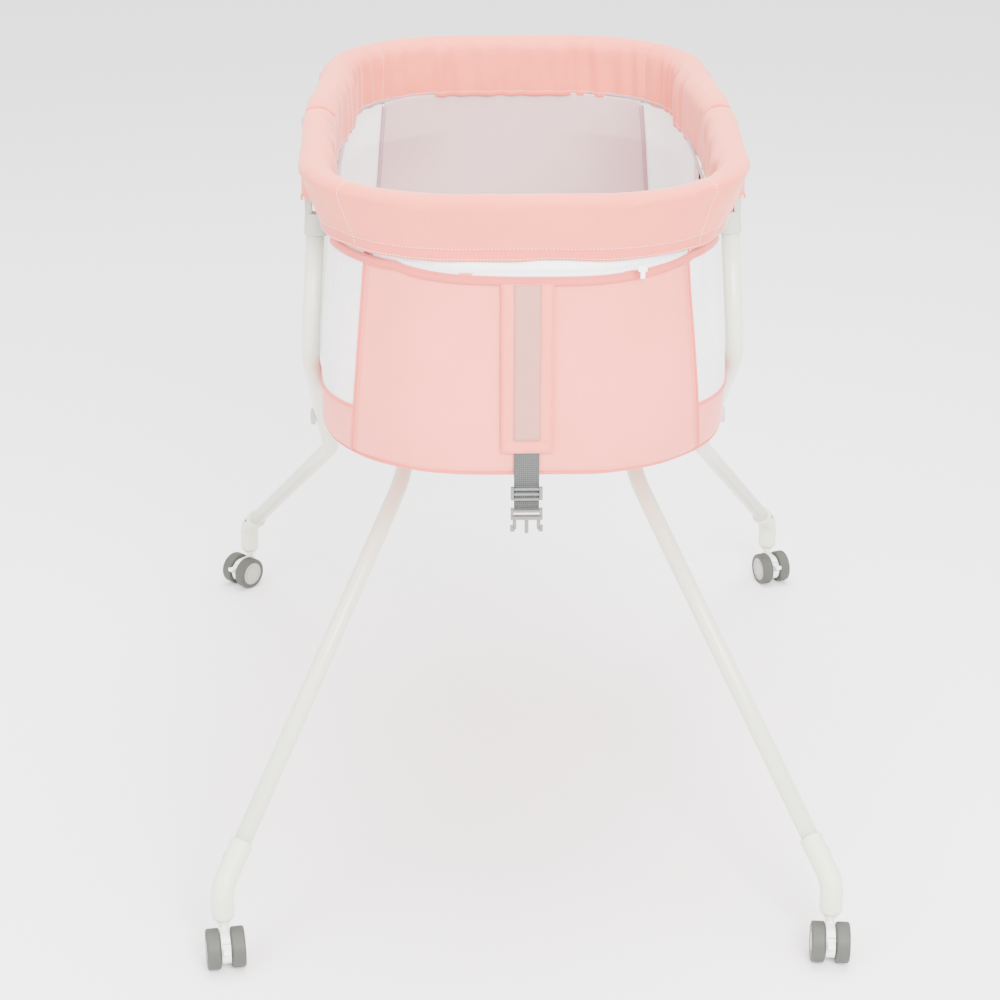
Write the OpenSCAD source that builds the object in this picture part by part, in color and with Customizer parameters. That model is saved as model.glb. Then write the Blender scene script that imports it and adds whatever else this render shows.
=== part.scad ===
// Bassinet on a folding stand with four swivel casters.
// +X is across the basket, -Y is the foot end that faces forward, +Z is up.
// The origin is on the floor, under the middle of the crossed frame.

/* [Rim] */
// Outside width of the padded rim
rim_w = 546; // [500:2:640]
// Outside length of the padded rim
rim_l = 870; // [780:5:1060]
// Height of the middle line of the rim tube above the floor
rim_z = 908; // [860:5:1000]
// Outside corner radius of the rim, seen from above
rim_corner = 200; // [150:5:230]
// Width of the padded rim sleeve
sleeve_w = 37; // [34:1:50]
// How far the sleeve's cloth hangs below the rim tube
band_drop = 58; // [40:1:75]
// Thickness of the sleeve's cloth and foam
sleeve_t = 2; // [1.5:0.5:3]
// Diameter of the rim tube
rim_tube_d = 14; // [12:0.5:16]
// Gap between the two halves of the rim tube
rim_gap = 140; // [100:5:180]
// Diameter of the pins that hang the rim on its sockets
rim_pin_d = 6; // [5:0.5:8]

/* [Basket] */
// Height of the underside of the basket above the floor
basket_z = 585; // [560:5:620]
// Gap from the side of the basket to the side tubes at its bottom
basket_clear = 4; // [3:0.5:12]
// How much narrower each side of the basket is at its top
basket_taper = 13; // [6:1:20]
// How much shorter each end of the basket is at its bottom
end_taper = 9; // [0:1:20]
// Thickness of the basket's cloth
cloth_t = 3; // [2:0.5:5]
// Length of each half of the mattress
mattress_half = 360; // [300:5:400]
// Width of the mattress
mattress_w = 410; // [340:5:440]
// Thickness of the mattress pad
pad_t = 23; // [15:1:30]
// Thickness of the floor boards
board_t = 5; // [3:0.5:8]

/* [Stand] */
// Diameter of the stand's tubes
tube_d = 22; // [18:0.5:26]
// Wall of the stand's tubes
tube_wall = 1.5; // [1:0.25:2.5]
// Distance between the middle lines of the two outer side tubes
side_span = 524; // [490:2:640]
// Height of the crossing axle above the floor
axle_z = 505; // [480:5:530]
// Diameter of the crossing axle
axle_d = 12; // [10:0.5:14]
// Outside diameter of the cross sleeve around the axle
cross_d = 30; // [26:1:36]
// Distance from the middle of the rim to each socket
socket_y = 205; // [180:5:230]
// Distance between the front casters' swivel lines
front_track = 740; // [640:5:900]
// Distance between the rear casters' swivel lines
rear_track = 852; // [720:5:1000]
// Distance from the axle to the front casters
front_reach = 525; // [480:5:620]
// Distance from the axle to the rear casters
rear_reach = 555; // [480:5:620]
// Distance between the tops of the two front legs
leg_top_span = 300; // [240:5:340]
// Outside diameter of the caster elbows
elbow_d = 28; // [26:1:34]

/* [Casters] */
// Diameter of each wheel
wheel_d = 50; // [40:1:60]
// Width of each wheel
wheel_w = 17; // [12:0.5:22]
// Width of the housing between the two wheels
housing_w = 11; // [9:0.5:16]
// How far the wheel's centre trails the swivel line
trail = 18; // [12:1:24]
// Diameter of the swivel stem
stem_d = 8; // [6:0.5:10]
// Diameter of the wheel axle
wheel_axle_d = 5; // [4:0.5:8]
// Swivel angle of the front left caster
swivel_fl = 10; // [-180:1:180]
// Swivel angle of the front right caster
swivel_fr = -5; // [-180:1:180]
// Swivel angle of the rear left caster
swivel_rl = -42; // [-180:1:180]
// Swivel angle of the rear right caster
swivel_rr = 20; // [-180:1:180]

/* [Strap] */
// Width of the webbing strap
web_w = 30; // [20:1:40]
// Thickness of the webbing
web_t = 1.6; // [1:0.2:2.5]
// Width of the sewn strap pocket
pocket_w = 60; // [45:1:80]

/* [Hidden] */
$fn = 48;

// Clearances and small sizes
run = 0.06;           // radial gap of a shaft that turns in its hole
slip = 0.15;          // radial gap of a tube end pushed into a socket
gap = 1;              // gap between pieces that only pass each other
sides = 20;           // flats round a bent tube
arc_steps = 6;        // steps round each bend
bend_r = 60;          // middle radius of the tube bends
crank_r = 90;         // middle radius of the gentle bends
leg_r = 220;          // middle radius of the bend under the basket
collar = 62;          // length of an elbow's collar before its corner
insert = 20;          // how much of a tube end is inside its collar

side_x = side_span / 2;
tube_r = tube_d / 2;
hang_x = side_x - tube_d - 2;
side_slope = 0.742;   // fall of a side tube per unit of its run to the axle
bend_y = 225;
bend_z = axle_z + bend_y * side_slope;
foot_z = 98;          // height of the elbows' corners
elbow_low = wheel_d + 6;
socket_x = side_x - 12;
rim_inset = sleeve_w - 11;  // from the rim's outer line to the middle line of its tube
rim_tube_x = rim_w / 2 - rim_inset;
rim_tube_r = rim_tube_d / 2;
tongue_t = 8;
ear_r = 9;            // radius of the eye at the top of a socket's tongue
tongue_x = rim_tube_x + rim_tube_r + gap + tongue_t / 2;
socket_top = rim_z - 60;

rear_foot = [rear_track / 2, rear_reach, foot_z];
front_foot = [front_track / 2, -front_reach, foot_z];
low_y = 130;
side_low = [side_x, low_y, axle_z - low_y * side_slope];
leg_bend = [leg_top_span / 2, -70, axle_z - 50];

function unit(v) = v / norm(v);

// Points of an arc that rounds the corner b of the line a, b, c
function corner(a, b, c, r) =
  let (u = unit(a - b), w = unit(c - b), half = acos(u * w) / 2, turn = 180 - 2 * half,
       mid = b + unit(u + w) * r / sin(half),
       p = unit(b + u * r / tan(half) - mid), q = unit(b + w * r / tan(half) - mid))
  [for (i = [0 : arc_steps]) let (s = i / arc_steps)
    mid + r * (sin((1 - s) * turn) * p + sin(s * turn) * q) / sin(turn)];

// A line whose inner corners are all rounded to radius r
function bent(pts, r) = [
  pts[0],
  for (i = [1 : len(pts) - 2]) each corner(pts[i - 1], pts[i], pts[i + 1], r),
  pts[len(pts) - 1]
];

function tangent(path, i) =
  unit(path[min(i + 1, len(path) - 1)] - path[max(i - 1, 0)]);

// A ring of points round point i of a path; ref is never along the path
function ring(path, i, r, ref) =
  let (t = tangent(path, i), a = unit(cross(t, ref)), b = cross(a, t))
  [for (k = [0 : sides - 1]) path[i] + r * (cos(k * 360 / sides) * a + sin(k * 360 / sides) * b)];

// Solid skin through closed rings of equal count, with flat ends
module skin(rings) {
  n = len(rings[0]);
  m = len(rings);
  polyhedron(
    points = [for (r = rings) each r],
    faces = [
      for (i = [0 : m - 2]) for (k = [0 : n - 1])
        let (a = i * n + k, b = i * n + (k + 1) % n) each [[a, b, b + n], [a, b + n, a + n]],
      [for (k = [n - 1 : -1 : 0]) k],
      [for (k = [0 : n - 1]) (m - 1) * n + k]
    ]
  );
}

// Bent tube along a path, hollow right through
module pipe(path, r, wall, ref = [1, 0, 0]) {
  n = sides;
  m = len(path);
  out = [for (i = [0 : m - 1]) each ring(path, i, r, ref)];
  bore = [for (i = [0 : m - 1]) each ring(path, i, r - wall, ref)];
  h = n * m;
  polyhedron(
    points = concat(out, bore),
    faces = [
      for (i = [0 : m - 2]) for (k = [0 : n - 1])
        let (a = i * n + k, b = i * n + (k + 1) % n)
          each [[a, b, b + n], [a, b + n, a + n], [h + b + n, h + b, h + a], [h + a + n, h + b + n, h + a]],
      for (k = [0 : n - 1])
        let (a = k, b = (k + 1) % n, e = (m - 1) * n)
          each [[b, a, h + a], [b, h + a, h + b], [e + a, e + b, h + e + b], [e + a, h + e + b, h + e + a]]
    ]
  );
}

module rod(path, r, ref = [1, 0, 0]) {
  skin([for (i = [0 : len(path) - 1]) ring(path, i, r, ref)]);
}

// Points back from b towards a by a distance
function back(a, b, d) = b + unit(a - b) * d;

// Half of the rim's plan, from +X round the -Y end to -X: position and outward direction
function half_plan(hw, hl, r, start) = [
  [[hw, -start], [1, 0]],
  for (i = [0 : arc_steps * 2]) let (t = -90 * i / (arc_steps * 2), d = [cos(t), sin(t)])
    [[hw - r, r - hl] + r * d, d],
  for (i = [0 : arc_steps * 2]) let (t = -90 - 90 * i / (arc_steps * 2), d = [cos(t), sin(t)])
    [[r - hw, r - hl] + r * d, d],
  [[-hw, -start], [-1, 0]]
];

// Profile of [distance outward, height] points, anticlockwise, swept along a plan
module band(plan, profile) {
  n = len(profile);
  skin([for (p = plan) [for (k = [0 : n - 1])
    let (q = profile[n - 1 - k], xy = p[0] + p[1] * q[0]) [xy[0], xy[1], q[1]]]]);
}

// Rounded rectangle at one height, clockwise from above
function loop_at(hw, hl, r, z) = [
  for (c = [[1, -1, 0], [-1, -1, -90], [-1, 1, -180], [1, 1, -270]]) for (i = [0 : arc_steps])
    let (t = c[2] - 90 * i / arc_steps)
      [c[0] * (hw - r) + r * cos(t), c[1] * (hl - r) + r * sin(t), z]
];

module across(x0, x1, y, z, r) {
  translate([x0, y, z]) rotate([0, 90, 0]) cylinder(r = r, h = x1 - x0);
}

module mirror_left(left) {
  mirror([left ? 1 : 0, 0, 0]) children();
}

module to_far(far) {
  mirror([0, far ? 1 : 0, 0]) children();
}

// ---- Crossing axle ----

axle_end = side_x + tube_r + 2;

module axle_rod() {
  color("silver") across(-axle_end, axle_end, 0, axle_z, axle_d / 2);
}

module axle_caps() {
  color("gainsboro") for (s = [0, 1]) mirror_left(s) {
    difference() {
      across(side_x + tube_r + gap / 2, axle_end + 4, 0, axle_z, axle_d / 2 + 5);
      across(side_x, axle_end, 0, axle_z, axle_d / 2);
    }
  }
}

module pivot_washers() {
  color("white") for (s = [0, 1]) mirror_left(s) {
    difference() {
      across(hang_x + tube_r + 0.2, side_x - tube_r - 0.2, 0, axle_z, axle_d / 2 + 4);
      across(hang_x, side_x, 0, axle_z, axle_d / 2);
    }
  }
}

// ---- Frame that carries the near end of the rim and the rear casters ----

socket_len = 26;
side_path = bent([
  [socket_x, -socket_y, socket_top - socket_len + insert],
  [side_x, -bend_y, bend_z],
  side_low,
  back(side_low, rear_foot, collar - insert)
], bend_r);

module side_tube(left) {
  color([0.9, 0.9, 0.86]) mirror_left(left) difference() {
    pipe(side_path, tube_r, tube_wall);
    across(side_x - tube_d, side_x + tube_d, 0, axle_z, axle_d / 2 + run);
  }
}

module side_tube_left() { side_tube(true); }
module side_tube_right() { side_tube(false); }

// Plastic socket on the end of an upright, with a flat tongue for the rim's pin
module socket(left, far) {
  a = side_path[0];
  u = unit(a - side_path[1]);
  color([0.72, 0.73, 0.71]) mirror_left(left) to_far(far) difference() {
    union() {
      translate(a) rotate([0, acos(u[2]), atan2(u[1], u[0])]) translate([0, 0, -insert])
        cylinder(r = tube_r + 3, h = socket_len);
      translate([tongue_x - tongue_t / 2, -socket_y - ear_r, socket_top - 12])
        cube([tongue_t, 2 * ear_r, rim_z - socket_top + 12]);
      across(tongue_x - tongue_t / 2, tongue_x + tongue_t / 2, -socket_y, rim_z, ear_r);
    }
    across(tongue_x - tongue_t, tongue_x + tongue_t, -socket_y, rim_z, rim_pin_d / 2 + run);
    socket_bore();
  }
}

// The pocket in a socket follows the leaning end of its tube
module socket_bore() {
  a = side_path[0];
  b = side_path[1];
  rod([a + (a - b) * 0.02, b], tube_r + slip * 2);
}

module near_socket_left() { socket(true, false); }
module near_socket_right() { socket(false, false); }
module far_socket_left() { socket(true, true); }
module far_socket_right() { socket(false, true); }

// Elbow at a foot: a collar on the tube, a bend, and a bored leg for the caster's stem
stem_top = elbow_low + 24;

module elbow(from, foot) {
  path = bent([back(from, foot, collar), foot, [foot[0], foot[1], elbow_low]], 34);
  color([0.87, 0.88, 0.82]) difference() {
    rod(path, elbow_d / 2);
    rod([back(from, foot, collar + 1), back(from, foot, collar - insert - 1)], tube_r + slip);
    translate([foot[0], foot[1], elbow_low - 1]) cylinder(r = stem_d / 2 + run, h = stem_top - elbow_low + 2);
    screw = back(from, foot, collar - 10);
    translate(screw) rotate([0, 90, 0]) cylinder(r = 2.2, h = elbow_d);
  }
}

module rear_elbow_left() { mirror_left(true) elbow(side_low, rear_foot); }
module rear_elbow_right() { elbow(side_low, rear_foot); }
module front_elbow_left() { mirror_left(true) elbow(leg_bend, front_foot); }
module front_elbow_right() { elbow(leg_bend, front_foot); }

// ---- Frame that carries the far end of the rim and the front casters ----

crank_y = 95;
hang_end = 13;
hang_path = bent([
  [socket_x, socket_y, socket_top - socket_len + insert],
  [side_x, bend_y, bend_z],
  [side_x, crank_y, axle_z + crank_y * side_slope],
  [hang_x, 18, axle_z + 18 * side_slope],
  [hang_x, -hang_end, axle_z - hang_end * side_slope]
], bend_r);

module hanger(left) {
  color([0.9, 0.9, 0.86]) mirror_left(left) difference() {
    pipe(hang_path, tube_r, tube_wall);
    across(hang_x - tube_d, hang_x + tube_d, 0, axle_z, axle_d / 2 + run);
  }
}

module hanger_left() { hanger(true); }
module hanger_right() { hanger(false); }

module cross_sleeve() {
  half = hang_x - tube_r - 0.05;
  color([0.9, 0.9, 0.86]) difference() {
    across(-half, half, 0, axle_z, cross_d / 2);
    across(-half - 1, half + 1, 0, axle_z, axle_d / 2 + run);
  }
}

leg_start = back(leg_bend, [leg_bend[0], 0, axle_z], cross_d / 2 - 1);
leg_path = bent([leg_start, leg_bend, back(leg_bend, front_foot, collar - insert)], leg_r);

module front_leg(left) {
  color([0.9, 0.9, 0.86]) mirror_left(left) difference() {
    pipe(leg_path, tube_r, tube_wall);
    across(0, side_x, 0, axle_z, cross_d / 2);
  }
}

module front_leg_left() { front_leg(true); }
module front_leg_right() { front_leg(false); }

// ---- Rim: two hinged halves ----

rim_tube_l = rim_l / 2 - rim_inset;
rim_plan = half_plan(rim_tube_x, rim_tube_l, rim_corner - rim_inset, rim_gap / 2);
rim_path = [for (p = rim_plan) [p[0][0], p[0][1], rim_z]];
strap_h = rim_tube_d - 4;
strap_t = 3;
rivet_head = 2;         // height of the rivet heads of the middle hinge
hinge_cap_r = 9;         // radius of the plastic caps of the middle hinge
pin_head = 1.5;

module rim_tube(far) {
  color([0.85, 0.86, 0.84]) to_far(far) difference() {
    pipe(rim_path, rim_tube_r, 1.2, [0, 0, 1]);
    for (s = [-1, 1]) {
      across(s * rim_tube_x - rim_tube_d, s * rim_tube_x + rim_tube_d, -socket_y, rim_z, rim_pin_d / 2 + 0.02);
      translate([s * rim_tube_x - rim_tube_d, -rim_gap / 2 - 14, rim_z - strap_h / 2 - 0.2])
        cube([rim_tube_d * 2, 20, strap_h + 0.4]);
    }
  }
}

module rim_tube_near() { rim_tube(false); }
module rim_tube_far() { rim_tube(true); }

// Flat straps riveted in the slotted tube ends; the two halves pass side by side
module rim_straps(far) {
  x0 = rim_tube_x + (far ? 0.6 : -0.6 - strap_t);
  color("silver") to_far(far) for (s = [0, 1]) mirror_left(s) difference() {
    union() {
      translate([x0, -rim_gap / 2 - 13.8, rim_z - strap_h / 2])
        cube([strap_t, rim_gap / 2 + 13.8, strap_h]);
      across(x0, x0 + strap_t, 0, rim_z, strap_h / 2);
    }
    if (!far) across(x0 - 1, x0 + strap_t + 1, 0, rim_z, 2.6);
  }
  // Rivet of the middle hinge, on the far straps only
  if (far) color("silver") for (s = [0, 1]) mirror_left(s)
    across(x0 + strap_t - 0.01, x0 + strap_t + rivet_head, 0, rim_z, 4);
}

module rim_straps_near() { rim_straps(false); }
module rim_straps_far() { rim_straps(true); }

// Plastic cap over each rivet of the middle hinge
module rim_hinge_caps() {
  rivet_end = rim_tube_x + 0.6 + strap_t + rivet_head;
  color([0.72, 0.73, 0.71]) for (s = [0, 1]) mirror_left(s)
    across(rivet_end, rim_w / 2 - 7, 0, rim_z, hinge_cap_r);
}

module rim_pins(far) {
  color("silver") to_far(far) for (s = [0, 1]) mirror_left(s) {
    across(rim_tube_x - rim_tube_r - pin_head, tongue_x + tongue_t / 2 + 0.5, -socket_y, rim_z, rim_pin_d / 2);
    across(rim_tube_x - rim_tube_r - pin_head, rim_tube_x - rim_tube_r - 0.05, -socket_y, rim_z, rim_pin_d / 2 + 2);
    across(tongue_x + tongue_t / 2 + 0.4, tongue_x + tongue_t / 2 + 1.6, -socket_y, rim_z, rim_pin_d / 2 + 2);
  }
}

module rim_pins_near() { rim_pins(false); }
module rim_pins_far() { rim_pins(true); }

// Sleeve of cloth over the rim: an inverted trough, whose outer wall ends above the sockets
band_plan = half_plan(rim_w / 2, rim_l / 2, rim_corner, 1);
sleeve_top = rim_z + 22;
band_low = rim_z - band_drop;
top_inset = 26;
outer_hem = socket_top + 14;
sleeve_profile = [
  [-6 - sleeve_t, outer_hem], [-6, outer_hem], [0, rim_z + 4], [-6, sleeve_top - 5], [-12, sleeve_top],
  [-sleeve_w + 12, sleeve_top], [-sleeve_w + 4, sleeve_top - 5], [-sleeve_w, rim_z + 8],
  [-sleeve_w, band_low], [-sleeve_w + sleeve_t, band_low], [-sleeve_w + sleeve_t, rim_z + 6],
  [-sleeve_w + 5, sleeve_top - 7], [-sleeve_w + 12, sleeve_top - sleeve_t], [-14, sleeve_top - sleeve_t],
  [-8, sleeve_top - 6], [-sleeve_t, rim_z + 4]
];

module rim_sleeve(far) {
  color([0.98, 0.78, 0.73]) to_far(far) band(band_plan, sleeve_profile);
}

module rim_sleeve_near() { rim_sleeve(false); }
module rim_sleeve_far() { rim_sleeve(true); }

// ---- Basket ----

basket_hw = side_x - tube_r - basket_clear;
basket_top = band_low - 1;
top_hw = min(basket_hw - basket_taper, rim_w / 2 - top_inset - gap);
basket_hl = rim_l / 2 - top_inset - gap - end_taper;
top_hl = rim_l / 2 - top_inset - gap;
basket_corner = rim_corner - 22;

module basket_shell() {
  floor_z = basket_z + cloth_t;
  color([0.99, 0.8, 0.77]) skin([
    loop_at(basket_hw - 6, basket_hl - 6, basket_corner, basket_z),
    loop_at(basket_hw, basket_hl, basket_corner, basket_z + 8),
    loop_at(top_hw, top_hl, basket_corner, basket_top - 8),
    loop_at(top_hw - 3, top_hl - 3, basket_corner, basket_top - 4),
    loop_at(top_hw - 3, top_hl - 3, basket_corner, basket_top),
    loop_at(top_hw - 3 - cloth_t, top_hl - 3 - cloth_t, basket_corner - cloth_t, basket_top),
    loop_at(top_hw - 3 - cloth_t, top_hl - 3 - cloth_t, basket_corner - cloth_t, basket_top - 5),
    loop_at(basket_hw - cloth_t, basket_hl - cloth_t, basket_corner - cloth_t, floor_z + 6),
    loop_at(basket_hw - cloth_t - 5, basket_hl - cloth_t - 5, basket_corner - cloth_t, floor_z)
  ]);
}

// Distance of the near panel's face from the middle, at a height
function panel_y(z) = basket_hl + (top_hl - basket_hl) * (z - basket_z - 8) / (basket_top - basket_z - 16);

// A flat piece of cloth that lies on the near panel between two heights
module on_panel(w, z0, z1, t, off) {
  y0 = -panel_y(z0) - off;
  y1 = -panel_y(z1) - off;
  rotate([90, 0, 90]) translate([0, 0, -w / 2]) linear_extrude(w)
    polygon([[y0 - t, z0], [y0, z0], [y1, z1], [y1 - t, z1]]);
}

web_off = 0.6;
pocket_off = web_off + web_t + 0.6;
pocket_low = basket_z + 35;
pocket_high = band_low - 22;
web_low = basket_z - 52;

module webbing_strap() {
  color([0.61, 0.62, 0.61]) {
    on_panel(web_w, basket_z + 14, pocket_high - 10, web_t, web_off);
    translate([-web_w / 2, -panel_y(basket_z + 14) - web_off - web_t, web_low])
      cube([web_w, web_t, basket_z + 14 - web_low]);
  }
}

module strap_pocket() {
  color([0.99, 0.82, 0.79]) on_panel(pocket_w, pocket_low, pocket_high, 1, pocket_off);
}

strap_y = -panel_y(basket_z + 14) - web_off - web_t / 2;

// Ladder lock that takes up the webbing
module strap_slider() {
  z0 = basket_z - 30;
  color([0.62, 0.63, 0.62]) translate([0, strap_y, z0]) difference() {
    translate([-web_w / 2 - 4, -4, 0]) cube([web_w + 8, 8, 16]);
    translate([-web_w / 2 - 0.4, -web_t / 2 - 0.3, -1]) cube([web_w + 0.8, web_t + 0.6, 18]);
    translate([-web_w / 2 - 0.4, -5, 5]) cube([web_w + 0.8, 4.6, 6]);
  }
}

// Plug half of the side-release buckle, with two spring prongs and a middle guide
module strap_buckle() {
  z0 = web_low - 4;
  color([0.6, 0.61, 0.6]) translate([0, strap_y, z0]) {
    difference() {
      translate([-web_w / 2 - 4, -4, -8]) cube([web_w + 8, 8, 22]);
      translate([-web_w / 2 - 0.4, -web_t / 2 - 0.3, 4 - 0.4]) cube([web_w + 0.8, web_t + 0.6, 20]);
      translate([-web_w / 2, -5, -1]) cube([web_w, 3, 4]);
    }
    for (s = [0, 1]) mirror_left(s) {
      translate([web_w / 2 - 3, -2, -22]) cube([5, 4, 14.5]);
      translate([web_w / 2 - 1, -2, -24]) cube([6, 4, 8]);
    }
    translate([-2.5, -2, -26]) cube([5, 4, 18.5]);
  }
}

// Zipper under the sleeve's hem along the near end
zip_hw = 150;
zip_z = band_low - 9;

module zipper_tape() {
  color("white") on_panel(2 * zip_hw, zip_z - 6, zip_z + 5, 0.8, 0.5);
}

module zipper_slider() {
  y = -panel_y(zip_z) - 1.6;
  color("white") translate([zip_hw - 20, y, zip_z]) {
    translate([-5, -3, -3]) cube([10, 2.8, 6]);
    translate([-2.5, -4.2, -11]) cube([5, 1, 9]);
    translate([-1.5, -4.4, -4]) cube([3, 1.5, 5]);
  }
}

// ---- Folding floor ----

floor_low = basket_z + cloth_t + 6;
pad_top = floor_low + board_t + pad_t;
floor_corner = 90;

module floor_half(far, z, t, inset) {
  hw = mattress_w / 2 - inset;
  l = mattress_half - inset;
  to_far(far) translate([0, 0, z]) linear_extrude(t) difference() {
    union() {
      translate([-hw, -l + floor_corner]) square([2 * hw, l - floor_corner - gap]);
      for (s = [-1, 1]) translate([s * (hw - floor_corner), -l + floor_corner]) circle(r = floor_corner);
      translate([-hw + floor_corner, -l]) square([2 * (hw - floor_corner), floor_corner * 2]);
    }
    if (inset > 0) for (s = [-1, 1]) translate([s * hw / 2, -l / 2]) circle(r = 12);
  }
}

module floor_board_near() { color("tan") floor_half(false, floor_low, board_t, 3); }
module floor_board_far() { color("tan") floor_half(true, floor_low, board_t, 3); }
module mattress_near() { color([0.9, 0.85, 0.85]) floor_half(false, floor_low + board_t, pad_t, 0); }
module mattress_far() { color([0.9, 0.85, 0.85]) floor_half(true, floor_low + board_t, pad_t, 0); }

// ---- Casters: modelled at the origin, trailing towards -Y ----

wheel_r = wheel_d / 2;
hub_r = wheel_r - 7;
house_r = wheel_r - 6;
wheel_in = housing_w / 2 + 1;
lever_y = -trail - 12;
lever_z = wheel_r + 9;
lever_w = housing_w - 2.6;
lever_slot = housing_w - 1.8;

// Places a caster's piece at a corner: 0 rear right, 1 rear left, 2 front right, 3 front left
module at_corner(n) {
  foot = n < 2 ? rear_foot : front_foot;
  turn = [swivel_rr, swivel_rl, swivel_fr, swivel_fl][n];
  x = n % 2 == 1 ? -foot[0] : foot[0];
  translate([x, foot[1], 0]) rotate([0, 0, turn]) children();
}

module caster_housing(n) {
  color([0.96, 0.96, 0.95]) at_corner(n) difference() {
    union() {
      across(-housing_w / 2, housing_w / 2, -trail, wheel_r, house_r);
      translate([-housing_w / 2, -trail, wheel_r]) cube([housing_w, trail + 5, wheel_r - 6]);
        cylinder_from(wheel_r + 6, wheel_d + 4, housing_w / 2);
      cylinder_from(wheel_d + 1, wheel_d + 4, housing_w / 2 + 3);
      cylinder_from(wheel_r, stem_top, stem_d / 2);
    }
    across(-housing_w, housing_w, -trail, wheel_r, wheel_axle_d / 2 + 0.02);
    across(-lever_slot / 2, lever_slot / 2, lever_y, lever_z, 4.2);
    translate([-lever_slot / 2, lever_y - 30, lever_z - 9]) cube([lever_slot, 30, 20]);
  }
  color([0.96, 0.96, 0.95]) at_corner(n)
    across(-housing_w / 2, housing_w / 2, lever_y, lever_z, 1.2);
}

module cylinder_from(z0, z1, r) {
  translate([0, 0, z0]) cylinder(r = r, h = z1 - z0);
}

module caster_axle(n) {
  reach = wheel_in + wheel_w - 4;
  color("silver") at_corner(n) across(-reach, reach, -trail, wheel_r, wheel_axle_d / 2);
}

module caster_tyres(n) {
  shoulder = 3;
  color([0.48, 0.49, 0.46]) at_corner(n) for (s = [0, 1]) mirror_left(s)
    translate([wheel_in, -trail, wheel_r]) rotate([0, 90, 0]) rotate_extrude() difference() {
      union() {
        translate([hub_r, shoulder]) square([wheel_r - hub_r, wheel_w - 2 * shoulder]);
        translate([hub_r, 0]) square([wheel_r - hub_r - shoulder, wheel_w]);
        for (z = [shoulder, wheel_w - shoulder]) translate([wheel_r - shoulder, z]) circle(r = shoulder);
      }
    }
}

module caster_hubs(n) {
  color([0.76, 0.76, 0.73]) at_corner(n) for (s = [0, 1]) mirror_left(s)
    translate([wheel_in, -trail, wheel_r]) rotate([0, 90, 0]) difference() {
      translate([0, 0, 0.5]) cylinder(r = hub_r - 0.03, h = wheel_w - 1);
      translate([0, 0, -1]) cylinder(r = wheel_axle_d / 2 + run, h = wheel_w - 2.5);
      translate([0, 0, wheel_w - 1.5]) difference() {
        cylinder(r = hub_r - 2.5, h = 2);
        cylinder(r = hub_r - 6, h = 2);
      }
    }
}

module brake_lever(n) {
  w = lever_w;
  color([0.95, 0.95, 0.94]) at_corner(n) difference() {
    union() {
      across(-w / 2, w / 2, lever_y, lever_z, 3.2);
      translate([-w / 2, lever_y - 15, lever_z - 1]) cube([w, 15, 3]);
      translate([-w / 2, lever_y - 16, lever_z - 2]) cube([w, 3, 5]);
    }
    across(-w, w, lever_y, lever_z, 1.2 + run);
  }
}

module caster_housing_rr() { caster_housing(0); }
module caster_housing_rl() { caster_housing(1); }
module caster_housing_fr() { caster_housing(2); }
module caster_housing_fl() { caster_housing(3); }
module caster_axle_rr() { caster_axle(0); }
module caster_axle_rl() { caster_axle(1); }
module caster_axle_fr() { caster_axle(2); }
module caster_axle_fl() { caster_axle(3); }
module caster_tyres_rr() { caster_tyres(0); }
module caster_tyres_rl() { caster_tyres(1); }
module caster_tyres_fr() { caster_tyres(2); }
module caster_tyres_fl() { caster_tyres(3); }
module caster_hubs_rr() { caster_hubs(0); }
module caster_hubs_rl() { caster_hubs(1); }
module caster_hubs_fr() { caster_hubs(2); }
module caster_hubs_fl() { caster_hubs(3); }
module brake_lever_rr() { brake_lever(0); }
module brake_lever_rl() { brake_lever(1); }
module brake_lever_fr() { brake_lever(2); }
module brake_lever_fl() { brake_lever(3); }

axle_rod();
axle_caps();
pivot_washers();
basket_shell();
strap_pocket();
webbing_strap();
strap_slider();
strap_buckle();
zipper_tape();
zipper_slider();
side_tube_left();
side_tube_right();
near_socket_left();
near_socket_right();
rear_elbow_left();
rear_elbow_right();
hanger_left();
hanger_right();
cross_sleeve();
front_leg_left();
front_leg_right();
far_socket_left();
far_socket_right();
front_elbow_left();
front_elbow_right();
rim_tube_near();
rim_straps_near();
rim_pins_near();
rim_sleeve_near();
rim_tube_far();
rim_straps_far();
rim_pins_far();
rim_hinge_caps();
rim_sleeve_far();
floor_board_near();
mattress_near();
floor_board_far();
mattress_far();
caster_housing_fl();
caster_axle_fl();
caster_tyres_fl();
caster_hubs_fl();
brake_lever_fl();
caster_housing_fr();
caster_axle_fr();
caster_tyres_fr();
caster_hubs_fr();
brake_lever_fr();
caster_housing_rl();
caster_axle_rl();
caster_tyres_rl();
caster_hubs_rl();
brake_lever_rl();
caster_housing_rr();
caster_axle_rr();
caster_tyres_rr();
caster_hubs_rr();
brake_lever_rr();
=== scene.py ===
"""Looks of the bassinet on its folding stand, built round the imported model."""
import math
import random

import bpy
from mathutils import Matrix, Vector, noise


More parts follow.
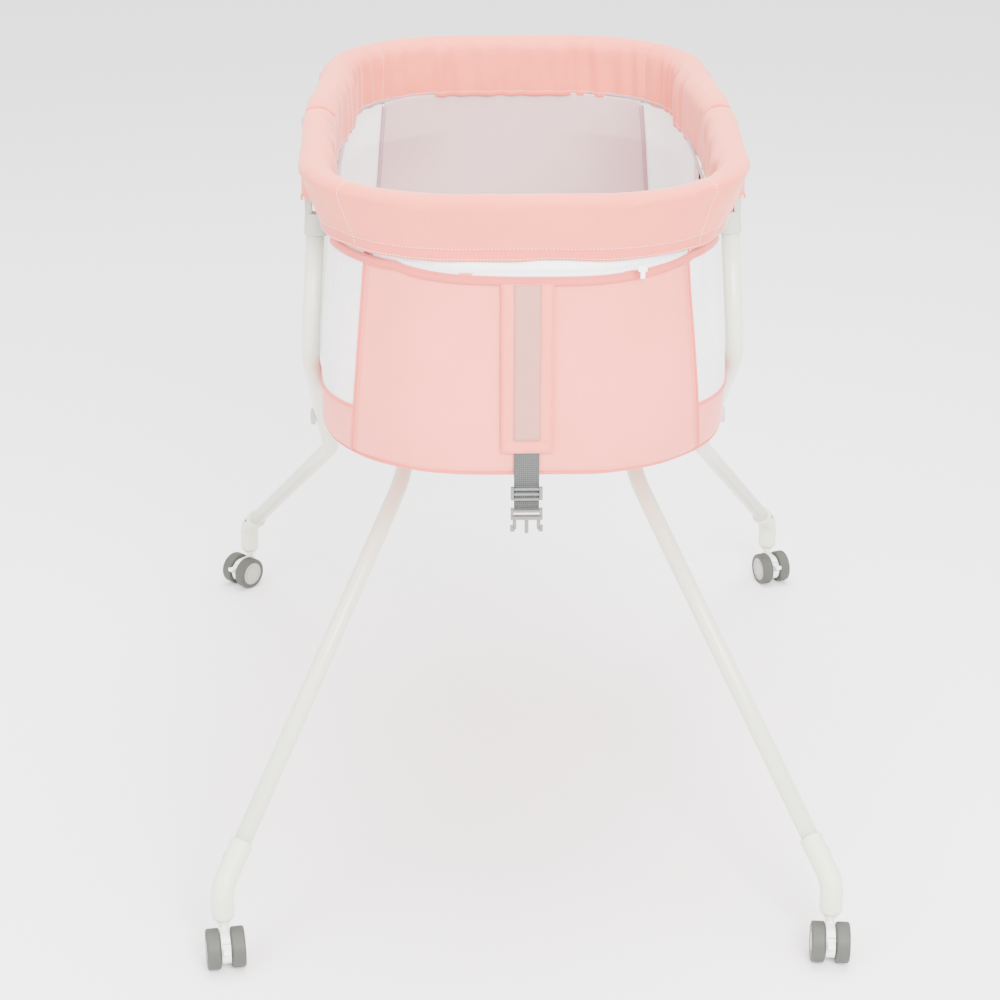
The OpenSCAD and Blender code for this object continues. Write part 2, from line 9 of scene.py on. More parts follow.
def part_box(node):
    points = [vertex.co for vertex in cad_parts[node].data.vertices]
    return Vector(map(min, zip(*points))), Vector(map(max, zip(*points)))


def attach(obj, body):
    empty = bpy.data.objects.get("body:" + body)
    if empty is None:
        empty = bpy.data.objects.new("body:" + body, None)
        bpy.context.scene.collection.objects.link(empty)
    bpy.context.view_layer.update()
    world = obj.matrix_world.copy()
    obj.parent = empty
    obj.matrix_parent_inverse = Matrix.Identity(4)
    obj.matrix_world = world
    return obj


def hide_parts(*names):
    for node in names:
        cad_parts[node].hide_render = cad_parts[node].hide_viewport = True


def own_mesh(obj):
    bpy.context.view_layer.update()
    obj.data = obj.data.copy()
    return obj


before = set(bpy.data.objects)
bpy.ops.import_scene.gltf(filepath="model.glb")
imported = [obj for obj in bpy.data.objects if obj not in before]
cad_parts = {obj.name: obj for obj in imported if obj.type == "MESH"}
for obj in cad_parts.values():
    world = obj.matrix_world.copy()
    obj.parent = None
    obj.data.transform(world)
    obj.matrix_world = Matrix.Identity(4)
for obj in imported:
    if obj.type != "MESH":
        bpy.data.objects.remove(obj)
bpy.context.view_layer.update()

MM = 0.001
UP = Vector((0, 0, 1))

# ---- Sizes, in metres, partly read from the imported model ----

rim_lo, rim_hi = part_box("rim_sleeve_near")
shell_lo, shell_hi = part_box("basket_shell")
axle_lo, axle_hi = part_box("axle_rod")
socket_lo, socket_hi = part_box("near_socket_right")
RIM_HW = rim_hi[0]
RIM_HL = -rim_lo[1]
RIM_TOP = rim_hi[2]
RIM_R = 200 * MM
SLEEVE_W = 37 * MM
HEM_Z = rim_lo[2]
HEM_IN = 25 * MM
BASE_HW = shell_hi[0]
TOP_HW = BASE_HW - 14 * MM
TOP_HL = shell_hi[1] - 1 * MM
BASE_HL = TOP_HL - 9 * MM
WALL_R = 178 * MM
BASE_Z = shell_lo[2]
WALL_TOP = HEM_Z - 6 * MM
AXLE_Z = (axle_lo[2] + axle_hi[2]) / 2
SOCKET_Y = -(socket_lo[1] + socket_hi[1]) / 2
SOCKET_X = (socket_lo[0] + socket_hi[0]) / 2
SEAM_TOP_X = 186 * MM
SEAM_LOW_X = 209 * MM
MESH_LOW = BASE_Z + 72 * MM
STRIP_HALF = 26 * MM
ZIP_X = (-146 * MM, 190 * MM)
WEB_W = 30 * MM
POCKET_W = 61 * MM


# ---- Small helpers ----

def clamp(x, lo=0.0, hi=1.0):
    return max(lo, min(hi, x))


def smooth(a, b, x):
    t = clamp((x - a) / (b - a))
    return t * t * (3 - 2 * t)


def mix(a, b, t):
    return a + (b - a) * t


def new_object(name, verts, faces, material=None, uvs=None, smooth_shade=True):
    mesh = bpy.data.meshes.new(name)
    mesh.from_pydata([tuple(v) for v in verts], [], faces)
    if uvs:
        layer = mesh.uv_layers.new(name="UVMap")
        for loop in mesh.loops:
            layer.data[loop.index].uv = uvs[loop.vertex_index]
    mesh.validate()
    mesh.update()
    if smooth_shade:
        for p in mesh.polygons:
            p.use_smooth = True
    obj = bpy.data.objects.new(name, mesh)
    bpy.context.scene.collection.objects.link(obj)
    if material:
        mesh.materials.append(material)
    return obj


def thicken(obj, t, offset=-1.0):
    m = obj.modifiers.new("thickness", "SOLIDIFY")
    m.thickness = t
    m.offset = offset
    return obj


def patch(name, surface, nu, nv, material, thickness=0.0, offset=-1.0):
    """A grid of surface(u, v), which gives a point and its metric uv."""
    verts, uvs = [], []
    for j in range(nv + 1):
        for i in range(nu + 1):
            p, uv = surface(i / nu, j / nv)
            verts.append(p)
            uvs.append(uv)
    faces = []
    for j in range(nv):
        for i in range(nu):
            a = j * (nu + 1) + i
            faces.append((a, a + 1, a + nu + 2, a + nu + 1))
    obj = new_object(name, verts, faces, material, uvs)
    if thickness:
        thicken(obj, thickness, offset)
    return obj


def round_corners(points, radius, steps=10):
    pts = [Vector(p) for p in points]
    out = [pts[0]]
    for a, b, c in zip(pts, pts[1:], pts[2:]):
        u, w = (a - b).normalized(), (c - b).normalized()
        half = u.angle(w) / 2
        if half > math.radians(89.5):
            continue
        centre = b + (u + w).normalized() * radius / math.sin(half)
        p = (b + u * radius / math.tan(half)) - centre
        q = (b + w * radius / math.tan(half)) - centre
        for i in range(steps + 1):
            out.append(centre + p.slerp(q, i / steps).normalized() * radius)
    out.append(pts[-1])
    return out


def sweep(name, path, radius, material, sides=32, ref=(1, 0, 0), squash=(1, 1), closed=False, caps=True):
    """A tube along path; radius is a number or one number per point."""
    path = [Vector(p) for p in path]
    ref = Vector(ref)
    n = len(path)
    radii = radius if hasattr(radius, "__len__") else [radius] * n
    verts, uvs, dist = [], [], 0.0
    for i, p in enumerate(path):
        if closed:
            t = path[(i + 1) % n] - path[i - 1]
        else:
            t = path[min(i + 1, n - 1)] - path[max(i - 1, 0)]
        t.normalize()
        a = t.cross(ref).normalized()
        b = a.cross(t)
        dist += (p - path[i - 1]).length if i else 0
        for k in range(sides):
            w = 2 * math.pi * k / sides
            verts.append(p + radii[i] * (math.cos(w) * a * squash[0] + math.sin(w) * b * squash[1]))
            uvs.append((dist, radii[i] * w))
    faces = []
    for i in range(n if closed else n - 1):
        for k in range(sides):
            a, b = i * sides + k, i * sides + (k + 1) % sides
            c, d = ((i + 1) % n) * sides + (k + 1) % sides, ((i + 1) % n) * sides + k
            faces.append((a, b, c, d))
    if caps and not closed:
        faces.append(tuple(range(sides - 1, -1, -1)))
        faces.append(tuple((n - 1) * sides + k for k in range(sides)))
    return new_object(name, verts, faces, material, uvs)


def box_verts(lo, hi):
    return [(x, y, z) for x in (lo[0], hi[0]) for y in (lo[1], hi[1]) for z in (lo[2], hi[2])]


BOX_FACES = [(0, 1, 3, 2), (4, 6, 7, 5), (0, 4, 5, 1), (2, 3, 7, 6), (0, 2, 6, 4), (1, 5, 7, 3)]


def blocks(name, boxes, material, bevel=0.6 * MM):
    """Rounded blocks in one piece, each given by its lowest and highest corner."""
    verts, faces = [], []
    for lo, hi in boxes:
        n = len(verts)
        verts += box_verts(lo, hi)
        faces += [tuple(n + i for i in f) for f in BOX_FACES]
    obj = new_object(name, verts, faces, material, smooth_shade=False)
    m = obj.modifiers.new("edges", "BEVEL")
    m.width = bevel
    m.segments = 3
    m.limit_method = "ANGLE"
    return obj


def stitches(name, path, material, length=2.6 * MM, space=1.5 * MM, width=0.9 * MM, lift=0.35 * MM):
    """A run of sewn stitches along path, a list of (point, normal)."""
    verts, faces = [], []
    total, marks = 0.0, [0.0]
    for (a, _), (b, _) in zip(path, path[1:]):
        total += (Vector(b) - Vector(a)).length
        marks.append(total)

    def at(d):
        for i in range(len(marks) - 1):
            if d <= marks[i + 1] or i == len(marks) - 2:
                f = clamp((d - marks[i]) / max(marks[i + 1] - marks[i], 1e-9))
                p = Vector(path[i][0]).lerp(Vector(path[i + 1][0]), f)
                return p, Vector(path[i][1]).lerp(Vector(path[i + 1][1]), f).normalized()

    d = space / 2
    while d + length < total:
        rows = []
        for f, s in ((0.0, 0.35), (0.2, 0.9), (0.5, 1.0), (0.8, 0.9), (1.0, 0.35)):
            p, n = at(d + f * length)
            q, _ = at(min(d + f * length + 0.3 * MM, total))
            t = (q - p)
            t = t.normalized() if t.length else Vector((1, 0, 0))
            side = t.cross(n).normalized() * width / 2
            h = lift * (0.1 if f in (0.0, 1.0) else 1.6)
            rows.append([p - side * s, p + n * h - side * s * 0.5, p + n * h + side * s * 0.5, p + side * s])
        base = len(verts)
        for r in rows:
            verts += r
        for i in range(4):
            for k in range(3):
                a = base + i * 4 + k
                faces.append((a, a + 1, a + 5, a + 4))
        d += length + space
    return new_object(name, verts, faces, material)


# ---- Materials ----

def principled(name, color, roughness=0.6, **sockets):
    m = bpy.data.materials.new(name)
    m.use_nodes = True
    m.diffuse_color = (*color, 1)
    b = m.node_tree.nodes["Principled BSDF"]
    b.inputs["Base Color"].default_value = (*color, 1)
    b.inputs["Roughness"].default_value = roughness
    for key, value in sockets.items():
        b.inputs[key.replace("_", " ")].default_value = value
    return m, m.node_tree, b


def node(tree, kind, **settings):
    n = tree.nodes.new(kind)
    for key, value in settings.items():
        if key in n.inputs:
            n.inputs[key].default_value = value
        else:
            setattr(n, key, value)
    return n


def two_tone(tree, b, factor, low, high):
    ramp = node(tree, "ShaderNodeMix", data_type="RGBA")
    ramp.inputs[6].default_value = (*low, 1)
    ramp.inputs[7].default_value = (*high, 1)
    tree.links.new(factor, ramp.inputs[0])
    tree.links.new(ramp.outputs[2], b.inputs["Base Color"])
    return ramp


def add_bump(tree, b, height, strength, distance):
    bump = node(tree, "ShaderNodeBump")
    bump.inputs["Strength"].default_value = strength
    bump.inputs["Distance"].default_value = distance
    tree.links.new(height, bump.inputs["Height"])
    tree.links.new(bump.outputs["Normal"], b.inputs["Normal"])
    return bump


def math_node(tree, op, a, b=None):
    n = tree.nodes.new("ShaderNodeMath")
    n.operation = op
    for i, v in enumerate((a, b)):
        if v is None:
            continue
        if isinstance(v, (int, float)):
            n.inputs[i].default_value = v
        else:
            tree.links.new(v, n.inputs[i])
    return n.outputs[0]


def weave(tree, scale, coords):
    """Height of a plain weave: warp over weft, from two sine waves."""
    sep = node(tree, "ShaderNodeSeparateXYZ")
    tree.links.new(coords, sep.inputs[0])
    u = math_node(tree, "MULTIPLY", sep.outputs[0], scale)
    v = math_node(tree, "MULTIPLY", sep.outputs[1], scale)
    return math_node(tree, "MULTIPLY", math_node(tree, "SINE", u), math_node(tree, "SINE", v))


def cloth(name, low, high, thread=0.8 * MM, sheen=0.25, roughness=0.78, mottle=9.0, bump=0.25):
    """Woven polyester: soft colour drift, faint slubs along both threads, and a fine weave."""
    m, tree, b = principled(name, high, roughness)
    b.inputs["Sheen Weight"].default_value = sheen
    b.inputs["Sheen Roughness"].default_value = 0.4
    uv = node(tree, "ShaderNodeUVMap", uv_map="UVMap")
    geo = node(tree, "ShaderNodeTexCoord")
    drift = node(tree, "ShaderNodeTexNoise", Scale=mottle, Detail=4.0, Roughness=0.6)
    tree.links.new(geo.outputs["Object"], drift.inputs["Vector"])
    stretch = node(tree, "ShaderNodeMapping")
    stretch.inputs["Scale"].default_value = (1.0, 0.06, 1.0)
    tree.links.new(uv.outputs[0], stretch.inputs[0])
    slub = node(tree, "ShaderNodeTexNoise", Scale=420.0, Detail=2.0)
    tree.links.new(stretch.outputs[0], slub.inputs["Vector"])
    sum_ = math_node(tree, "ADD", math_node(tree, "MULTIPLY", drift.outputs["Fac"], 0.72),
                     math_node(tree, "MULTIPLY", slub.outputs["Fac"], 0.28))
    two_tone(tree, b, sum_, low, high)
    fine = weave(tree, math.pi / thread, uv.outputs[0])
    height = math_node(tree, "ADD", math_node(tree, "MULTIPLY", fine, 0.5),
                       math_node(tree, "MULTIPLY", slub.outputs["Fac"], 0.6))
    add_bump(tree, b, height, bump, 0.25 * MM)
    return m


def net_cloth(name, color, hole=2.4 * MM):
    """Knitted net: round holes in staggered rows, cut by transparency."""
    m, tree, b = principled(name, color, 0.6)
    b.inputs["Sheen Weight"].default_value = 0.2
    uv = node(tree, "ShaderNodeUVMap", uv_map="UVMap")
    sep = node(tree, "ShaderNodeSeparateXYZ")
    tree.links.new(uv.outputs[0], sep.inputs[0])
    s = 2 * math.pi / hole
    u = math_node(tree, "MULTIPLY", sep.outputs[0], s)
    v = math_node(tree, "MULTIPLY", sep.outputs[1], s * 0.577)
    wave = math_node(tree, "MULTIPLY", math_node(tree, "COSINE", u), math_node(tree, "COSINE", v))
    open_ = math_node(tree, "GREATER_THAN", wave, 0.42)
    alpha = math_node(tree, "SUBTRACT", 1.0, math_node(tree, "MULTIPLY", open_, 0.85))
    tree.links.new(alpha, b.inputs["Alpha"])
    add_bump(tree, b, math_node(tree, "MULTIPLY", wave, -1.0), 0.5, 0.4 * MM)
    m.surface_render_method = "DITHERED"
    return m


def webbing(name, low, high):
    """Narrow webbing with a raised diamond weave."""
    m, tree, b = principled(name, high, 0.6)
    b.inputs["Sheen Weight"].default_value = 0.2
    uv = node(tree, "ShaderNodeUVMap", uv_map="UVMap")
    sep = node(tree, "ShaderNodeSeparateXYZ")
    tree.links.new(uv.outputs[0], sep.inputs[0])
    s = 2 * math.pi / (5.0 * MM)
    a = math_node(tree, "MULTIPLY", math_node(tree, "ADD", sep.outputs[0], sep.outputs[1]), s)
    c = math_node(tree, "MULTIPLY", math_node(tree, "SUBTRACT", sep.outputs[0], sep.outputs[1]), s)
    diamond = math_node(tree, "MULTIPLY", math_node(tree, "COSINE", a), math_node(tree, "COSINE", c))
    # The colour follows the weave's relief, darker in its hollows and lighter on its raised threads: painted shade
    # of the relief.
    f = math_node(tree, "ADD", math_node(tree, "MULTIPLY", diamond, 0.5), 0.5)
    two_tone(tree, b, f, low, high)
    add_bump(tree, b, diamond, 0.8, 0.5 * MM)
    return m


def moulded(name, color, roughness, grain=900.0, bump=0.06, coat=0.0, vary=0.04):
    """Moulded plastic or rubber: fine grain and a slight drift of tone."""
    m, tree, b = principled(name, color, roughness)
    b.inputs["Coat Weight"].default_value = coat
    b.inputs["Coat Roughness"].default_value = 0.25
    geo = node(tree, "ShaderNodeTexCoord")
    drift = node(tree, "ShaderNodeTexNoise", Scale=22.0, Detail=3.0)
    tree.links.new(geo.outputs["Object"], drift.inputs["Vector"])
    low = tuple(c * (1 - vary) for c in color)
    high = tuple(min(1.0, c * (1 + vary)) for c in color)
    two_tone(tree, b, drift.outputs["Fac"], low, high)
    speck = node(tree, "ShaderNodeTexNoise", Scale=grain, Detail=2.0)
    tree.links.new(geo.outputs["Object"], speck.inputs["Vector"])
    add_bump(tree, b, speck.outputs["Fac"], bump, 0.2 * MM)
    return m


def plated(name, color, roughness=0.32):
    """Zinc-plated steel with faint drawn lines."""
    m, tree, b = principled(name, color, roughness)
    b.inputs["Metallic"].default_value = 1.0
    geo = node(tree, "ShaderNodeTexCoord")
    stretch = node(tree, "ShaderNodeMapping")
    stretch.inputs["Scale"].default_value = (0.02, 1.0, 1.0)
    tree.links.new(geo.outputs["Object"], stretch.inputs[0])
    lines = node(tree, "ShaderNodeTexNoise", Scale=1400.0, Detail=2.0)
    tree.links.new(stretch.outputs[0], lines.inputs["Vector"])
    two_tone(tree, b, lines.outputs["Fac"], tuple(c * 0.86 for c in color), color)
    add_bump(tree, b, lines.outputs["Fac"], 0.08, 0.1 * MM)
    return m


def linear(hex_color):
    """Scene colour of an sRGB hex colour."""
    out = []
    for i in (0, 2, 4):
        c = int(hex_color[i:i + 2], 16) / 255
        out.append(c / 12.92 if c <= 0.04045 else ((c + 0.055) / 1.055) ** 2.4)
    return tuple(out)


RIM_CLOTH = cloth("rim_cloth", (0.74, 0.135, 0.08), (0.9, 0.205, 0.125), bump=0.3)
RIM_HEM = cloth("rim_hem", (0.68, 0.11, 0.075), (0.82, 0.16, 0.11), thread=0.6 * MM, mottle=14.0)
PANEL_CLOTH = cloth("panel_cloth", (0.82, 0.17, 0.13), (0.93, 0.235, 0.185), mottle=6.0)
TRIM_CLOTH = cloth("trim_cloth", (0.64, 0.095, 0.075), (0.78, 0.14, 0.11), thread=0.6 * MM)
POCKET_CLOTH = cloth("pocket_cloth", (0.8, 0.15, 0.115), (0.9, 0.2, 0.155), thread=0.7 * MM)
# Grey-pink for the cloth inside the basket (the inner faces and the mattress pads): painted shade, a darker and
# greyer copy of the pink panel cloth.
INSIDE_CLOTH_PAINTED_SHADE = cloth("lining", (0.47, 0.325, 0.33), (0.62, 0.46, 0.46), mottle=4.0, bump=0.18)
LINING_TRIM = cloth("lining_trim", (0.3, 0.19, 0.22), (0.42, 0.28, 0.31), thread=0.6 * MM)
NET = net_cloth("net", linear("f6f6f8"))
# Near-black foam seen through the slits over the middle hinges: the near-black is painted shade of the hole in the
# slit.
FOAM_PAINTED_SHADE = moulded("foam_painted_shade", (0.02, 0.018, 0.018), 0.95, grain=500.0, bump=0.5)
WHITE_TAPE = cloth("white_tape", linear("eeeef6"), linear("fdfdff"), thread=0.6 * MM, mottle=20.0)
ZIP_TEETH = moulded("zip_teeth", linear("f2f2f6"), 0.4)
THREAD = moulded("thread", (0.62, 0.17, 0.14), 0.7, bump=0.2)
WHITE_THREAD = moulded("white_thread", (0.9, 0.6, 0.53), 0.7, bump=0.2)
WEBBING = webbing("webbing", (0.016, 0.018, 0.017), (0.075, 0.082, 0.077))
BUCKLE = moulded("buckle_plastic", (0.11, 0.118, 0.113), 0.28, coat=0.5)
PAINT = moulded("stand_paint", (0.6, 0.61, 0.5), 0.34, grain=1500.0, bump=0.05, coat=0.25, vary=0.015)
RIM_PAINT = moulded("rim_paint", linear("d9dad5"), 0.4, vary=0.02)
ELBOW = moulded("elbow_plastic", (0.62, 0.65, 0.51), 0.42, grain=1200.0, bump=0.08, vary=0.02)
SOCKET = moulded("socket_plastic", (0.42, 0.44, 0.38), 0.45, vary=0.03)
WHITE_PLASTIC = moulded("white_plastic", linear("f1f1ee"), 0.3, coat=0.3, vary=0.02)
TYRE = moulded("tyre_rubber", (0.045, 0.048, 0.04), 0.62, grain=700.0, bump=0.2, vary=0.06)
HUB = moulded("hub_plastic", (0.33, 0.34, 0.3), 0.42, vary=0.03)
# Near-black for the screw slots on the elbows: painted shade of the recess.
SLOT_PAINTED_SHADE = moulded("slot_shadow", linear("1d1d1c"), 0.8)
STEEL = plated("zinc_steel", (0.62, 0.63, 0.64))
BOARD = moulded("fibre_board", linear("b99b74"), 0.85, grain=300.0, bump=0.4, vary=0.12)


# ---- Plan curves of the rim and the basket ----

class Plan:
    """Rounded rectangle; t in [0, 1) runs from the middle of the near end to +X and round.
    Levels of different size share the reference's split of t, so their corners line up."""

    def __init__(self, hw, hl, r, marks=None):
        self.hw, self.hl, self.r = hw, hl, r
        a, b, c = hw - r, math.pi / 2 * r, 2 * (hl - r)
        runs = [a, b, c, b, 2 * a, b, c, b, a]
        self.length = sum(runs)
        if marks is None:
            marks, d = [0.0], 0.0
            for run in runs:
                d += run / self.length
                marks.append(d)
        self.marks = marks

    def at(self, t):
        """Position and outward direction."""
        t %= 1.0
        i = 8
        for k in range(9):
            if t <= self.marks[k + 1]:
                i = k
                break
        f = (t - self.marks[i]) / (self.marks[i + 1] - self.marks[i])
        ix, iy, r = self.hw - self.r, self.hl - self.r, self.r
        if i == 0:
            return Vector((ix * f, -self.hl, 0)), Vector((0, -1, 0))
        if i == 8:
            return Vector((-ix * (1 - f), -self.hl, 0)), Vector((0, -1, 0))
        if i == 4:
            return Vector((ix * (1 - 2 * f), self.hl, 0)), Vector((0, 1, 0))
        if i == 2:
            return Vector((self.hw, -iy + 2 * iy * f, 0)), Vector((1, 0, 0))
        if i == 6:
            return Vector((-self.hw, iy - 2 * iy * f, 0)), Vector((-1, 0, 0))
        cx, cy, start = {1: (ix, -iy, -90), 3: (ix, iy, 0), 5: (-ix, iy, 90), 7: (-ix, -iy, 180)}[i]
        w = math.radians(start + 90 * f)
        d = Vector((math.cos(w), math.sin(w), 0))
        return Vector((cx, cy, 0)) + d * r, d

    def t_of_x(self, x, near=True):
        """t at which the near or far end's run, corners included, reaches x."""
        lo, hi = (0.0, 0.25) if near else (0.25, 0.5)
        for _ in range(40):
            m = (lo + hi) / 2
            if (self.at(m)[0].x < abs(x)) == near:
                lo = m
            else:
                hi = m
        return lo if x >= 0 else 1.0 - lo


RIM_PLAN = Plan(RIM_HW, RIM_HL, RIM_R)
BASE_PLAN = Plan(BASE_HW, BASE_HL, WALL_R)


def level(z):
    """Plan of the basket's wall at a height."""
    f = clamp((z - BASE_Z) / (WALL_TOP - BASE_Z))
    belly = 2.0 * MM * math.sin(math.pi * f)
    tuck = 5 * MM * (1 - smooth(0, 12 * MM, z - BASE_Z))
    hw = mix(BASE_HW, TOP_HW, f) + belly - tuck
    hl = mix(BASE_HL, TOP_HL, f) + belly * 0.5 - tuck
    slack = 42 * MM * math.sin(math.pi * clamp(f / 0.8))
    return Plan(hw, hl, WALL_R - slack, BASE_PLAN.marks)


LEVELS = {}


def wall(t, z, inward=0.0):
    """Point and outward direction on the basket's wall."""
    key = round(z * 20000)
    if key not in LEVELS:
        LEVELS[key] = level(z)
    p, n = LEVELS[key].at(t)
    return Vector((p.x, p.y, z)) - n * inward, n


def creases(p, seed, size, amount):
    """Soft folds of slack cloth, about amount high and size across, longer up and down."""
    q = Vector((p.x / size + seed * 7.3, p.y / size, p.z / (size * 2.6)))
    big = noise.noise(q)
    small = noise.noise(q * 2.3 + Vector((3, 1, seed)))
    return amount * (big + 0.45 * small)


def seam_t(z, near=True):
    f = clamp((z - BASE_Z) / (WALL_TOP - BASE_Z))
    x = mix(SEAM_LOW_X, SEAM_TOP_X, f)
    return level(z).t_of_x(x, near)


def side_t(right, y):
    """t of a side of the basket at a place along it."""
    a, b = BASE_PLAN.marks[2], BASE_PLAN.marks[3]
    iy = BASE_PLAN.hl - BASE_PLAN.r
    t = a + (b - a) * (y + iy) / (2 * iy)
    return t if right else 1.0 - t


# ---- Camera, floor and light ----

def stage():
    cam_data = bpy.data.cameras.new("camera")
    cam = bpy.data.objects.new("camera", cam_data)
    bpy.context.scene.collection.objects.link(cam)
    cam.location = (-0.075, -2.901, 1.630)
    cam.rotation_euler = (math.radians(90 - 23.3), 0, math.radians(-1))
    cam_data.lens = 82.9
    cam_data.sensor_width = 36
    bpy.context.scene.camera = cam

    floor_mat, tree, b = principled("floor_white", (0.86, 0.86, 0.86), 0.9)
    size = 14
    floor = new_object("floor", [(-size, -size, 0), (size, -size, 0), (size, size, 0), (-size, size, 0)],
                       [(0, 1, 2, 3)], floor_mat, smooth_shade=False)

    world = bpy.data.worlds.new("studio")
    bpy.context.scene.world = world
    world.use_nodes = True
    bg = world.node_tree.nodes["Background"]
    bg.inputs["Color"].default_value = (1.0, 1.0, 1.0, 1)
    bg.inputs["Strength"].default_value = 2.45

    def area(name, place, target, size_m, power, color=(1, 1, 1)):
        light = bpy.data.lights.new(name, "AREA")
        light.shape = "SQUARE"
        light.size = size_m
        light.energy = power
        light.color = color
        obj = bpy.data.objects.new(name, light)
        obj.location = place
        obj.rotation_euler = (Vector(target) - Vector(place)).to_track_quat("-Z", "Y").to_euler()
        bpy.context.scene.collection.objects.link(obj)

    area("key", (0.9, -3.4, 2.6), (0, -0.2, 0.6), 1.6, 390)
    area("fill", (-2.6, -2.2, 2.4), (0, 0, 0.5), 2.2, 110)
    area("top", (0.2, 0.4, 3.6), (0, 0, 0.6), 2.4, 260)


stage()


# ---- Rim cover ----

def bow(y):
    """How far the long sides of the rim lean in, away from its middle."""
    f = clamp((abs(y) - 60 * MM) / (340 * MM))
    return (10 if y > 0 else 6) * MM * math.sin(math.pi * f)


def rim_section(s):
    """Offset from the rim's outer line and height, from the outer hem over the top to the inner hem."""
    top = RIM_TOP
    pts = [
        (-HEM_IN, HEM_Z), (-HEM_IN + 2 * MM, HEM_Z + 12 * MM), (-16 * MM, HEM_Z + 29 * MM),
        (-9 * MM, HEM_Z + 45 * MM), (-3 * MM, top - 20 * MM), (0, top - 12 * MM), (-0.5 * MM, top - 7 * MM),
        (-4 * MM, top - 2.5 * MM), (-10 * MM, top), (-18 * MM, top), (-26 * MM, top - 2 * MM),
        (-32.5 * MM, top - 7 * MM), (-SLEEVE_W + 0.5 * MM, top - 16 * MM), (-SLEEVE_W, top - 34 * MM),
        (-SLEEVE_W + 0.5 * MM, HEM_Z + 20 * MM), (-SLEEVE_W + 2 * MM, HEM_Z - 2 * MM),
    ]
    x = s * (len(pts) - 1)
    i = min(int(x), len(pts) - 2)
    f = x - i
    p = [pts[max(i - 1, 0)], pts[i], pts[i + 1], pts[min(i + 2, len(pts) - 1)]]

    def spline(k):
        a, b, c, d = (q[k] for q in p)
        return 0.5 * (2 * b + (c - a) * f + (2 * a - 5 * b + 4 * c - d) * f * f + (3 * b - a - 3 * c + d) * f ** 3)

    return spline(0), spline(1)


SLIT_Z = HEM_Z + 20 * MM
LENS = (0.5, 0.74)


def lens(s):
    """Half width of the slit over the middle hinge, at a place across the rim."""
    f = clamp((s - LENS[0]) / (LENS[1] - LENS[0]))
    return 3.4 * MM * math.sin(math.pi * f)


def rim_point(t, s):
    d, z = rim_section(s)
    p, n = RIM_PLAN.at(t)
    p = p - n * bow(p.y) * abs(n.x)
    q = Vector((p.x, p.y, z))
    inner = smooth(0.6, 0.85, s)
    outer = 1 - smooth(0.2, 0.45, s)
    gather = noise.noise(Vector((t * 60, s * 1.3, 5))) + 0.7 * noise.noise(Vector((t * 130 + s * 3, s * 2, 9)))
    d -= inner * 2.6 * MM * (gather + 0.4)
    d += outer * 2.6 * MM * noise.noise(Vector((t * 34 + s * 2, s * 5, 2)))
    d += 1.3 * MM * noise.noise(Vector((t * 95 - s * 5, s * 7, 12)))
    far = smooth(0.05, 0.3, p.y)
    d -= inner * (0.35 + far) * 1.5 * MM * (1 + math.sin(t * 420 + 5 * s + 3 * noise.noise(Vector((t * 30, 0, 1)))))
    # Puckers that spread from the corner seams and the middle hinge
    for centre in (0.093, 0.25, 0.407, 0.593, 0.75, 0.907):
        near_seam = math.exp(-(((t % 1.0) - centre) / 0.02) ** 2)
        d += near_seam * 1.2 * MM * noise.noise(Vector((s * 16, centre * 50, 3)))
    hinge = math.exp(-(p.y / (16 * MM)) ** 2)
    z_off = -hinge * 3.0 * MM * smooth(0.35, 0.5, s) * (1 - smooth(0.8, 0.95, s))
    # The cloth tents over each socket's tongue, and ends in a slit with the socket outside it
    if abs(p.x) > RIM_HW - 40 * MM:
        for sy in (-1, 1):
            at_socket = math.exp(-((p.y - sy * SOCKET_Y) / (22 * MM)) ** 4)
            if s < 0.4:
                over = abs(p.x) + d
                below = 1 - smooth(SLIT_Z - 2.5 * MM, SLIT_Z, z)
                tent = max(over, SOCKET_X + 16 * MM)
                tuck = SOCKET_X - 15.2 * MM
                d += at_socket * (mix(tent, tuck, below) - over)
            if s > 0.6:
                d -= at_socket * 5 * MM * smooth(0.7, 0.9, s)
    hem = 1 - smooth(0, 0.08, s)
    z_off += hem * 2.0 * MM * noise.noise(Vector((t * 38, 1, 4)))
    q = q + n * d + UP * z_off
    # The two halves part round the middle hinge's slit
    edge = math.exp(-(q.y / (7 * MM)) ** 2)
    q.y += math.copysign(lens(s) * edge, p.y if abs(p.y) > 1e-7 else 1)
    return q, n


def rim_cover(name, far):
    t0, t1 = (0.25, 0.75) if far else (-0.25, 0.25)

    side = 1 if far else -1

    def surface(u, v):
        t = mix(t0, t1, u)
        p, _ = rim_point(t, v)
        if u in (0, 1):
            p.y = side * max(abs(p.y), lens(v) + 0.2 * MM)
        return p, (t * RIM_PLAN.length, v * 0.24)

    obj = patch(name, surface, 320, 72, RIM_CLOTH, 1.4 * MM)
    obj.data.materials.append(RIM_HEM)
    for i, poly in enumerate(obj.data.polygons):
        if i // 320 < 6:
            poly.material_index = 1
    body = "rim_far" if far else "rim_near"
    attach(obj, body)
    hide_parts("rim_sleeve_far" if far else "rim_sleeve_near")
    return obj


def rim_line(t0, t1, s, n=160, lift=0.6 * MM):
    out = []
    for i in range(n + 1):
        t = mix(t0, t1, i / n)
        p, _ = rim_point(t, s)
        a, _ = rim_point(t + 0.0005, s)
        b, _ = rim_point(t, min(s + 0.01, 1))
        normal = (a - p).cross(b - p).normalized()
        out.append((p + normal * lift, normal))
    return out


